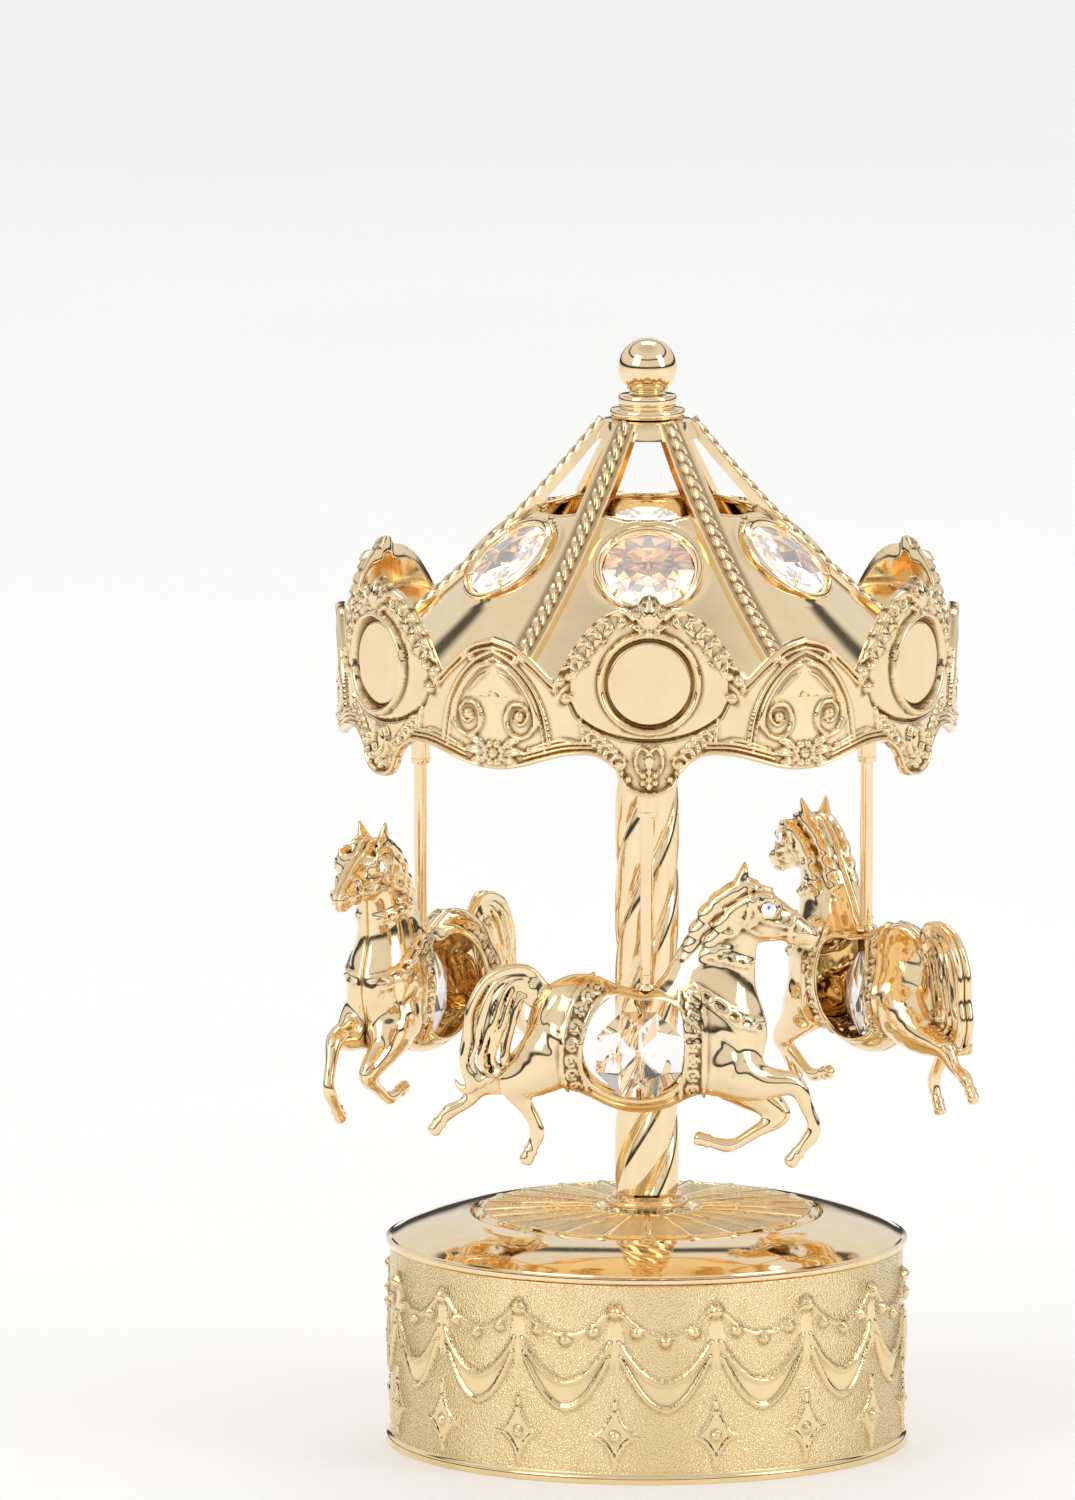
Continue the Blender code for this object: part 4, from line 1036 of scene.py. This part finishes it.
class Field:
    """A signed distance over the horse's block of space, negative inside."""

    def __init__(self):
        counts = np.ceil((HORSE_HIGH - HORSE_LOW) / HORSE_VOXEL).astype(int) + 1
        axes = [HORSE_LOW[i] + np.arange(counts[i]) * HORSE_VOXEL for i in range(3)]
        self.axes = axes
        self.x = axes[0][:, None, None].astype(np.float32)
        self.y = axes[1][None, :, None].astype(np.float32)
        self.z = axes[2][None, None, :].astype(np.float32)
        self.d = np.full(counts, 1e3, np.float32)

    def block(self, points, reach):
        """The part of the grid within reach of the points' box."""
        low, high = np.min(points, 0) - reach, np.max(points, 0) + reach
        slices = []
        for axis, a, b in zip(self.axes, low, high):
            slices.append(slice(int(np.searchsorted(axis, a)), int(np.searchsorted(axis, b))))
        return tuple(slices)

    def bone(self, a, b, radius_a, radius_b, flat=1.0, blend=1.0):
        """Adds a tapered limb from a to b; flat squeezes it sideways about its own middle plane."""
        cut = self.block([a, b], max(radius_a, radius_b) + blend + 1.5)
        self.d[cut] = smooth_min(self.d[cut], self.taper(cut, a, b, radius_a, radius_b, flat), blend)

    def taper(self, cut, a, b, radius_a, radius_b, flat):
        """The distance to a tapered limb, within a block."""
        a, b = np.array(a, float), np.array(b, float)
        x, y, z = self.x[cut[0]], self.y[:, cut[1]], self.z[:, :, cut[2]]
        along = b - a
        px, py, pz = x - a[0], (y - a[1]) / flat, z - a[2]
        ay = along[1] / flat
        length = max(along[0] ** 2 + ay**2 + along[2] ** 2, 1e-9)
        t = np.clip((px * along[0] + py * ay + pz * along[2]) / length, 0, 1)
        d = np.sqrt((px - t * along[0]) ** 2 + (py - t * ay) ** 2 + (pz - t * along[2]) ** 2)
        return ((d - (radius_a + (radius_b - radius_a) * t)) * (0.5 + 0.5 * flat)).astype(np.float32)

    def chain(self, joints, sides, flat=1.0, blend=1.0, steps=3):
        """Adds a smooth limb through joints of (place, radius), with its sideways place at each."""
        knots = [(place[0], side, place[1], radius) for (place, radius), side in zip(joints, sides)]
        line = curve(knots, steps)
        cut = self.block(line[:, :3], line[:, 3].max() + blend + 1.5)
        limb = np.full(self.d[cut].shape, 1e3, np.float32)
        for a, b in zip(line[:-1], line[1:]):
            limb = np.minimum(limb, self.taper(cut, a[:3], b[:3], a[3], b[3], flat))
        self.d[cut] = smooth_min(self.d[cut], limb, blend)

    def ellipsoid(self, centre, radii, blend):
        """Adds an ellipsoid to the body."""
        centre, radii = np.array(centre, float), np.array(radii, float)
        cut = self.block([centre], radii.max() + blend + 1.5)
        x, y, z = self.x[cut[0]] - centre[0], self.y[:, cut[1]] - centre[1], self.z[:, :, cut[2]] - centre[2]

        def stretched(power):
            a, b, c = radii**power
            return np.sqrt((x / a) ** 2 + (y / b) ** 2 + (z / c) ** 2)

        scaled, slope = stretched(1), stretched(2)
        d = scaled * (scaled - 1) / np.maximum(slope, 1e-6)
        self.d[cut] = smooth_min(self.d[cut], d.astype(np.float32), blend)

    def hoof(self, ankle, toe, side):
        """A flared hoof at the end of a leg, cut flat across."""
        a, b = np.array((ankle[0], side, ankle[1])), np.array((toe[0], side, toe[1]))
        along = (b - a) / np.linalg.norm(b - a)
        self.bone(a, b + 0.8 * along, 0.85, 1.4, 0.85, 0.35)
        cut = self.block([b], 4.0)
        x, y, z = self.x[cut[0]], self.y[:, cut[1]], self.z[:, :, cut[2]]
        beyond = (x - b[0]) * along[0] + (y - b[1]) * along[1] + (z - b[2]) * along[2] - 1.15
        self.d[cut] = np.maximum(self.d[cut], beyond.astype(np.float32))


def add_tail(field):
    """The tail: a core with wavy strands laid over both its sides, which part into curled ends."""
    spine = np.array([place for place, _ in TAIL_BONES])
    spread = np.array([radius for _, radius in TAIL_BONES])
    normal = ribbon(spine, 1.0) - spine
    field.chain([(place, 0.4 * radius) for place, radius in TAIL_BONES], (0,) * len(TAIL_BONES), 0.62, 0.8)
    strands = 5
    for i in range(strands):
        share = -1 + 2 * i / (strands - 1)
        wave = 0.75 * np.sin(np.arange(len(spine)) * 2.0 + 0.9 * i) * np.linspace(0, 1, len(spine))
        strand = spine + normal * (share * spread + wave)[:, None]
        lean = 1 if i < strands // 2 + 1 else -1
        curl = [(-0.6 * lean, -1.3), (-2.2 * lean, -1.6 + 0.4 * i), (-3.0 * lean, -0.4)]
        strand = curve(np.vstack([strand[:-1], strand[-1] + curl]), 5)
        radii = np.interp(np.linspace(0, 1, len(strand)), (0, 0.3, 0.75, 1), (0.6, 0.92, 0.85, 0.2))
        joints = [(tuple(place), radius) for place, radius in zip(strand, radii)]
        depth = 1.5 * np.sin(np.pi * np.linspace(0.1, 0.9, len(strand))) * (1 - 0.5 * abs(share))
        for side in (-1, 1):
            field.chain(joints, side * depth, 0.8, 0.1, steps=1)
    hook = [((-23.4, 70.4), 0.9), ((-21.6, 70.6), 0.8), ((-20.6, 72.0), 0.6), ((-21.0, 73.0), 0.3)]
    field.chain(hook, (0,) * 4, 0.9, 0.4)


def add_mane(field):
    """The mane: locks that leave the crest on both sides and sweep back and down."""
    crest = curve([(14.6, 91.6), (12.4, 90.6), (10.0, 88.2), (8.4, 85.2), (7.2, 82.0), (6.4, 79.2)], 6)
    locks = 8
    for i in range(locks):
        root = crest[int(i / (locks - 1) * (len(crest) - 1))]
        sway = 0.35 * (-1) ** i
        for row, (shift, start, end) in enumerate((((0.0, 0.0), 2.3, 0.9), ((2.2, -1.3), 3.4, 2.3))):
            top = root + shift
            lock = [top + (1.9, 0.5), top + (0.2, 0.5), top + (-1.2, -0.9), top + (-0.8 + sway, -2.6)]
            lock = curve([*lock, top + (-1.9 + sway, -4.0), top + (-1.4, -5.1)], 4)
            share = np.linspace(0, 1, len(lock))
            radii = np.interp(share, (0, 0.35, 0.7, 1), (0.5, 1.25 - 0.2 * row, 0.95, 0.2))
            joints = [(tuple(place), radius) for place, radius in zip(lock, radii)]
            for side in (-1, 1):
                field.chain(joints, side * np.linspace(start, end, len(lock)), 0.8, 0.1, steps=1)
    forelock = [((15.2, 92.0), 0.8), ((16.7, 91.6), 0.75), ((17.8, 90.6), 0.4)]
    for side in (-0.8, 0.8):
        field.chain(forelock, (side,) * 3, 0.9, 0.3)


def inside_distance(outline, u, v):
    """The signed distance to a closed outline, positive inside."""
    relief = Relief(u, v)
    _, d, _ = relief.distance(np.vstack([outline, outline[:1]]), 1e3)
    inside = np.zeros(u.size, bool)
    pu, pv = u.ravel(), v.ravel()
    for (x0, z0), (x1, z1) in zip(outline, np.roll(outline, -1, 0)):
        crosses = (z0 > pv) != (z1 > pv)
        inside ^= crosses & (pu < (x1 - x0) * (pv - z0) / (z1 - z0 + 1e-12) + x0)
    return np.where(inside, d, -d).reshape(u.shape)


def ribbon(points, offset):
    """A line beside a line, offset to its left."""
    line = np.array(points)
    along = np.gradient(line, axis=0)
    along /= np.linalg.norm(along, axis=1, keepdims=True)
    return line + np.stack([-along[:, 1], along[:, 0]], 1) * offset


def horse_relief(u, v):
    """What is raised on the horse's flank, seen from its side: harness, mane, tail strands and face."""
    relief = Relief(u, v)
    front = curve([(6.6, 76.6), (7.0, 72.0), (7.0, 66.0), (6.9, 59.6)], 8)
    rear = curve([(-6.9, 77.4), (-9.4, 75.0), (-11.0, 70.0), (-11.4, 65.0), (-10.4, 60.6)], 8)
    for strap, half_width in ((front, 1.75), (rear, 1.5)):
        for edge in (-half_width, half_width):
            relief.bead(ribbon(strap, edge), 0.3, 0.55)
        count = 8
        for i in range(count):
            at = strap[int((i + 0.5) / count * (len(strap) - 1))]
            relief.bead(arc(at, 0.8, 0.8, np.degrees(np.linspace(0, 5.2, 12))), 0.27, 0.5)
            relief.dome(at, 0.4, 0.6)
    chest = curve([(7.0, 77.0), (10.4, 74.9), (14.2, 72.2), (17.6, 70.8)], 8)
    throat = curve([(9.4, 82.2), (12.6, 81.2), (16.2, 80.2)], 8)
    for strap, bosses, half_width in ((chest, 5, 0.62), (throat, 4, 0.42)):
        for edge in (-half_width, half_width):
            relief.bead(ribbon(strap, edge), 0.26, 0.42)
        for i in range(bosses):
            at = strap[int((i + 0.5) / bosses * (len(strap) - 1))]
            relief.dome(at, 0.56 if half_width > 0.5 else 0.45, 0.7)
    relief.bead(curve([(12.6, 72.3), (14.0, 71.2), (15.4, 71.4)], 6), 0.24, 0.3)
    # Tail: grooves that part its strands
    spine = np.array([place for place, _ in TAIL_BONES])
    spread = np.array([radius for _, radius in TAIL_BONES])
    normal = ribbon(spine, 1.0) - spine
    for i in range(5):
        share = -0.8 + 1.6 * i / 4
        wave = 0.45 * np.sin(np.arange(len(spine)) * 2.0 + 0.5 * i) * np.linspace(0, 1, len(spine))
        relief.groove(curve(spine + normal * (share * spread + wave)[:, None], 6)[4:], 0.34, 0.6)
    # Face: bridle, cheek, brow and mouth
    relief.bead(curve([(22.6, 87.9), (21.8, 85.9), (21.5, 83.4)], 5), 0.36, 0.6)
    relief.bead(curve([(15.6, 91.6), (15.7, 89.4), (15.1, 87.2), (14.5, 86.6)], 6), 0.42, 0.65, ends=0.4)
    relief.bead(curve([(16.7, 91.2), (16.5, 88.8), (17.6, 87.0), (21.6, 86.1)], 6), 0.34, 0.55)
    relief.bead(curve([(14.6, 86.2), (17.4, 84.6), (21.4, 84.9), (24.0, 84.9)], 6), 0.26, 0.45)
    relief.dome(NOSTRIL, 0.75, 0.5)
    relief.groove([NOSTRIL], 0.3, 0.7)
    relief.groove([(25.9, 83.2), (23.0, 83.1)], 0.2, 0.8)
    relief.bead(arc(EYE, 1.45, 1.35, range(0, 361, 20)), 0.3, 0.45)
    # Muscles, and a band over each hoof
    for leg in (NEAR_HIND, FAR_HIND, NEAR_FORE, FAR_FORE):
        ankle, toe = (np.array(place) for place, _ in leg[-2:])
        across = np.array((ankle[1] - toe[1], toe[0] - ankle[0])) / np.hypot(*(toe - ankle)) * 1.3
        middle = ankle * 0.6 + toe * 0.4
        relief.bead([middle - across, middle + across], 0.26, 0.18)
    relief.groove(curve([(-13.6, 75.4), (-15.4, 71.8), (-14.8, 68.0)], 6), 0.5, 0.16)
    relief.groove(curve([(11.6, 69.5), (13.8, 66.8), (13.0, 63.6)], 6), 0.5, 0.16)
    relief.bead(curve(WINDOW, 6, closed=True), 0.85, 0.4)
    return relief.total()


def horse_field():
    """The distance to the whole solid horse, relief included."""
    field = Field()
    field.ellipsoid((9.3, 0, 69.3), (9.0, 5.9, 9.0), 2.5)
    field.ellipsoid((-1.0, 0, 66.7), (11.0, 6.1, 9.5), 2.5)
    field.ellipsoid((-9.8, 0, 69.6), (8.4, 6.0, 8.9), 2.5)
    field.chain(NECK_BONES, (0, 0, 0, 0), 0.62, 2.2)
    field.chain(HEAD_BONES, (0, 0, 0, 0), 0.84, 1.2)
    field.bone((18.2, 0, 86.0), (16.4, 0, 86.6), 2.6, 2.4, 0.95, 1.0)
    for side, hind, fore in ((-1, NEAR_HIND, NEAR_FORE), (1, FAR_HIND, FAR_FORE)):
        sides = np.array((2.2, 2.6, 2.3, 1.9, 1.7, 1.6, 1.6, 1.6)) * side
        for leg in (hind, fore):
            field.chain([(place, LEG_STRENGTH * radius) for place, radius in leg], sides, 0.85, 0.9)
            field.hoof(leg[-2][0], leg[-1][0], sides[-1])
        field.bone((EYE[0], side * 1.6, EYE[1]), (EYE[0], side * 2.7, EYE[1]), 1.5, 1.3, 1.0, 0.8)
    field.d = blurred(np.clip(field.d, -4, 4), 2)
    for side in (-1, 1):
        field.bone((14.3, side * 1.6, 91.6), (14.8, side * 2.3, 95.0), 1.65, 0.3, 0.7, 0.5)
    add_tail(field)
    add_mane(field)
    u, v = np.meshgrid(field.axes[0], field.axes[2], indexing="ij")
    raised = horse_relief(u, v).astype(np.float32)
    away = np.clip((np.abs(field.y) - 0.25) / 0.8, 0, 1)
    field.d -= raised[:, None, :] * away
    return field


def sampled(volume, places):
    """The volume's values at places given in voxels, by trilinear interpolation."""
    base = np.clip(np.floor(places).astype(int), 0, np.array(volume.shape) - 2)
    f = places - base
    total = 0.0
    for corner in np.ndindex(2, 2, 2):
        weight = np.prod(np.where(corner, f, 1 - f), axis=1)
        index = base + corner
        total = total + weight * volume[index[:, 0], index[:, 1], index[:, 2]]
    return total


def field_mesh(name, distance, hollow):
    """A mesh of the surface where the distance is zero, its points and normals drawn from the field.

    hollow says how far each place lies in a hollow of the whole horse; the material paints brown shade there.
    """
    grid = openvdb.FloatGrid(1e3)
    grid.copyFromArray(np.clip(distance, -2, 2).astype(np.float32))
    places, quads = grid.convertToQuads(isovalue=0.0)
    places = places.astype(float)
    slopes = np.gradient(blurred(distance, 1))
    for _ in range(3):
        slope = np.stack([sampled(part, places) for part in slopes], 1)
        size = np.maximum(np.linalg.norm(slope, axis=1), 1e-6)
        step = np.clip(sampled(distance, places) / size, -0.5, 0.5)
        places -= slope / size[:, None] * step[:, None]
    points = HORSE_LOW + places * HORSE_VOXEL
    mesh = mesh_of(name, points, outward(points, quads.astype(int)))
    slope = np.stack([sampled(part, places) for part in slopes], 1)
    normals = slope / np.maximum(np.linalg.norm(slope, axis=1, keepdims=True), 1e-6)
    mesh.normals_split_custom_set_from_vertices(normals.astype(np.float32))
    # Painted shade, stronger deeper in the horse's hollows.
    set_values(mesh, "painted_shade", np.clip(sampled(hollow, places) / RECESS_DEPTH - 0.15, 0, 1))
    return mesh


def horse_half_meshes():
    """The outer and the inner half shell of a horse: hollow, with the window through both."""
    field = horse_field()
    u, v = np.meshgrid(field.axes[0], field.axes[2], indexing="ij")
    window = inside_distance(curve(WINDOW, 6, closed=True), u, v).astype(np.float32)[:, None, :]
    shell = np.maximum(field.d, -(field.d + HORSE_WALL))
    shell = np.maximum(shell, window)
    seam = 0.04
    outer = np.maximum(shell, field.y + seam)
    inner = np.maximum(shell, seam - field.y)
    # How far each place lies below its smoothed surroundings, for the painted shade.
    hollow = field.d - blurred(np.clip(field.d, -3, 3), 2)
    return field_mesh("horse_outer_half", outer, hollow), field_mesh("horse_inner_half", inner, hollow)


def horse_places():
    """Each horse's number and its place: on its rod, facing along its path."""
    for number, yaw in zip(HORSES, HORSE_YAWS):
        low, high = box_mm(f"horse_{number}_rod")
        centre = (low + high) / 2
        angle = math.degrees(math.atan2(centre[1], centre[0]))
        place = Matrix.Translation(Vector((centre[0], centre[1], 0)) * MM)
        yield number, place @ about_axis(angle + 90 + yaw)


def make_horses():
    """Three horses that share their meshes: shells, crystal and its hook and claw, rod, sleeve and eyes."""
    outer, inner = horse_half_meshes()
    upright = Matrix.Rotation(math.radians(90), 4, "X")
    x, z = HORSE_CRYSTAL
    gem = gem_mesh("horse_crystal", 8, CRYSTAL_RADIUS, 2.2, 2.2)
    gem.transform(Matrix.Translation(Vector((x, 0, z)) * MM) @ upright @ about_axis(22.5))
    eye = gem_mesh("horse_eye", 8, 1.15, 0.6, 0.4)
    hang = [(0, 0, 8.9), (-0.5, -0.3, 8.1), (0, -0.9, 7.2), (0.25, -1.1, 6.3), (0, -1.6, 5.9)]
    hook = tube_mesh("crystal_hook", curve(np.add(hang, (x, 0, z)), 6), 0.28, 10)
    hold = [(0, -2.1, -4.9), (0, -1.7, -6.2), (0, -0.8, -7.15), (0, 0, -7.5), (0, 0, -8.6)]
    claw = tube_mesh("crystal_claw", curve(np.add(hold, (x, 0, z)), 6), 0.42, 10)
    top = box_mm("horse_1_rod")[1][2]
    profile = [(0.0, top), (0.9, top), (1.0, top - 0.1), (1.0, 78.4), (1.12, 78.3)]
    profile += [(1.12, 77.9), (1.0, 77.8), (1.0, 75.6), (0.0, 75.6)]
    rod = turned_mesh("horse_rod", profile, 40)
    low, high = (corner[2] for corner in box_mm("horse_1_rod_collar"))
    profile = [(1.16, high), (1.45, high), (1.45, low + 0.9), (1.52, low + 0.8)]
    profile += [(1.52, low + 0.2), (1.4, low), (1.16, low)]
    sleeve = turned_mesh("rod_collar", profile, 40)
    seat = turned_mesh("rod_seat", [(1.05, 77.0), (1.5, 76.9), (1.75, 76.5), (1.7, 76.1), (1.05, 76.1)], 40)
    for number, place in horse_places():
        name = f"horse_{number}"
        for label, shell in (("outer", outer), ("inner", inner)):
            half = [f"{name}_{label}_half"]
            piece(f"{name}_{label}_shell", shell, HORSE_GOLD, "carousel", half, place)
        piece(f"{name}_octagon_crystal", gem, CRYSTAL, "carousel", [f"{name}_crystal"], place)
        golden(f"{name}_crystal_hook", hook, matrix=place)
        golden(f"{name}_crystal_claw", claw, matrix=place)
        golden(f"{name}_round_rod", rod, [f"{name}_rod"], place)
        golden(f"{name}_sleeve", sleeve, [f"{name}_rod_collar"], place)
        golden(f"{name}_rod_seat", seat, matrix=place)
        for side, label in ((-1, "outer"), (1, "inner")):
            socket = place @ Matrix.Translation(Vector((EYE[0], side * EYE_SIDE, EYE[1])) * MM)
            facing = socket @ Matrix.Rotation(math.radians(-90 * side), 4, "X")
            stone = [f"{name}_{label}_eye"]
            piece(f"{name}_{label}_rhinestone", eye, RHINESTONE, "carousel", stone, facing)


# ---------------------------------------------------------------- stage

CAMERA_PLACE = (-16.8, -2600.0, 478.0)
CAMERA_PITCH = 8.12
CAMERA_LENS = 411.3
# The room's brightness from straight below, at 0, to straight above, at 1
ROOM_LEVELS = [(0.0, 1.0), (0.495, 1.0), (0.505, 0.05), (0.55, 0.07), (0.58, 0.80), (0.76, 0.86)]
ROOM_LEVELS += [(0.78, 0.10), (0.80, 0.10), (0.82, 0.84), (0.93, 0.84), (1.0, 0.62)]
# Each soft box: its place and its sides in metres, and its power in watts
SOFT_BOXES = {
    "soft_box_left": ((-1.5, -1.3, 1.3), (1.2, 1.6), 9),
    "soft_box_right": ((1.7, -0.9, 1.1), (0.8, 1.6), 7),
    "soft_box_top": ((0.1, 1.1, 2.2), (1.2, 0.8), 7),
}
FLOOR_RADIUS = 14.0


def make_camera():
    """A long lens, from far off and a little above."""
    data = bpy.data.cameras.new("camera")
    data.lens = CAMERA_LENS
    data.sensor_width = 36.0
    data.clip_start = 0.1
    data.clip_end = 100.0
    camera = bpy.data.objects.new("camera", data)
    camera.location = Vector(CAMERA_PLACE) * MM
    camera.rotation_euler = (math.radians(90 - CAMERA_PITCH), 0, 0)
    bpy.context.scene.collection.objects.link(camera)
    bpy.context.scene.camera = camera


def area_light(name, place, size, power):
    """A soft box at a place in metres, aimed at the middle of the object."""
    data = bpy.data.lights.new(name, "AREA")
    data.shape = "RECTANGLE"
    data.size, data.size_y = size
    data.energy = power
    light = bpy.data.objects.new(name, data)
    light.location = place
    aim = Vector((0, 0, 0.09)) - Vector(place)
    light.rotation_euler = aim.to_track_quat("-Z", "Y").to_euler()
    bpy.context.scene.collection.objects.link(light)


def make_world():
    """A pale room: bright round the object, with two dark belts that polished metal can mirror."""
    world = bpy.data.worlds.new("studio")
    bpy.context.scene.world = world
    world.use_nodes = True
    nodes, links = world.node_tree.nodes, world.node_tree.links
    shade = nodes["Background"]
    place = nodes.new("ShaderNodeTexCoord")
    split = nodes.new("ShaderNodeSeparateXYZ")
    links.new(place.outputs["Generated"], split.inputs["Vector"])
    node = nodes.new("ShaderNodeValToRGB")
    while len(node.color_ramp.elements) < len(ROOM_LEVELS):
        node.color_ramp.elements.new(0.5)
    for element, (position, value) in zip(node.color_ramp.elements, ROOM_LEVELS):
        element.position = position
        element.color = (value, value, value * 0.99, 1.0)
    half = nodes.new("ShaderNodeMath")
    half.operation = "MULTIPLY_ADD"
    half.inputs[1].default_value = 0.5
    half.inputs[2].default_value = 0.5
    links.new(split.outputs["Z"], half.inputs[0])
    links.new(half.outputs[0], node.inputs["Fac"])
    links.new(node.outputs["Color"], shade.inputs["Color"])
    shade.inputs["Strength"].default_value = 1.0


def make_stage():
    """A wide pale floor, the room and the soft boxes."""
    work = bmesh.new()
    bmesh.ops.create_circle(work, cap_ends=True, radius=FLOOR_RADIUS, segments=96)
    mesh = bpy.data.meshes.new("floor")
    work.to_mesh(mesh)
    work.free()
    material, nodes, links, shader = new_material("pale floor")
    shader.inputs["Roughness"].default_value = 0.6
    shader.inputs["Specular IOR Level"].default_value = 0.2
    shader.inputs["Emission Color"].default_value = (1.0, 1.0, 1.0, 1.0)
    shader.inputs["Emission Strength"].default_value = 0.12
    cloud = noise(nodes, links, 3.0)
    tint = ramp(nodes, links, cloud.outputs["Fac"], (0.93, 0.93, 0.93), (0.95, 0.95, 0.95))
    links.new(tint, shader.inputs["Base Color"])
    mesh.materials.append(material)
    floor = bpy.data.objects.new("floor", mesh)
    bpy.context.scene.collection.objects.link(floor)
    make_world()
    for name, (place, size, power) in SOFT_BOXES.items():
        area_light(name, place, size, power)
    scene = bpy.context.scene
    scene.view_settings.view_transform = "Standard"
    scene.cycles.glossy_bounces = 6


paint_cad_nodes()
make_camera()
make_drum()
make_cover()
make_disc()
make_pole()
make_valance()
make_roof()
make_ceiling()
make_finial()
make_horses()
make_stage()
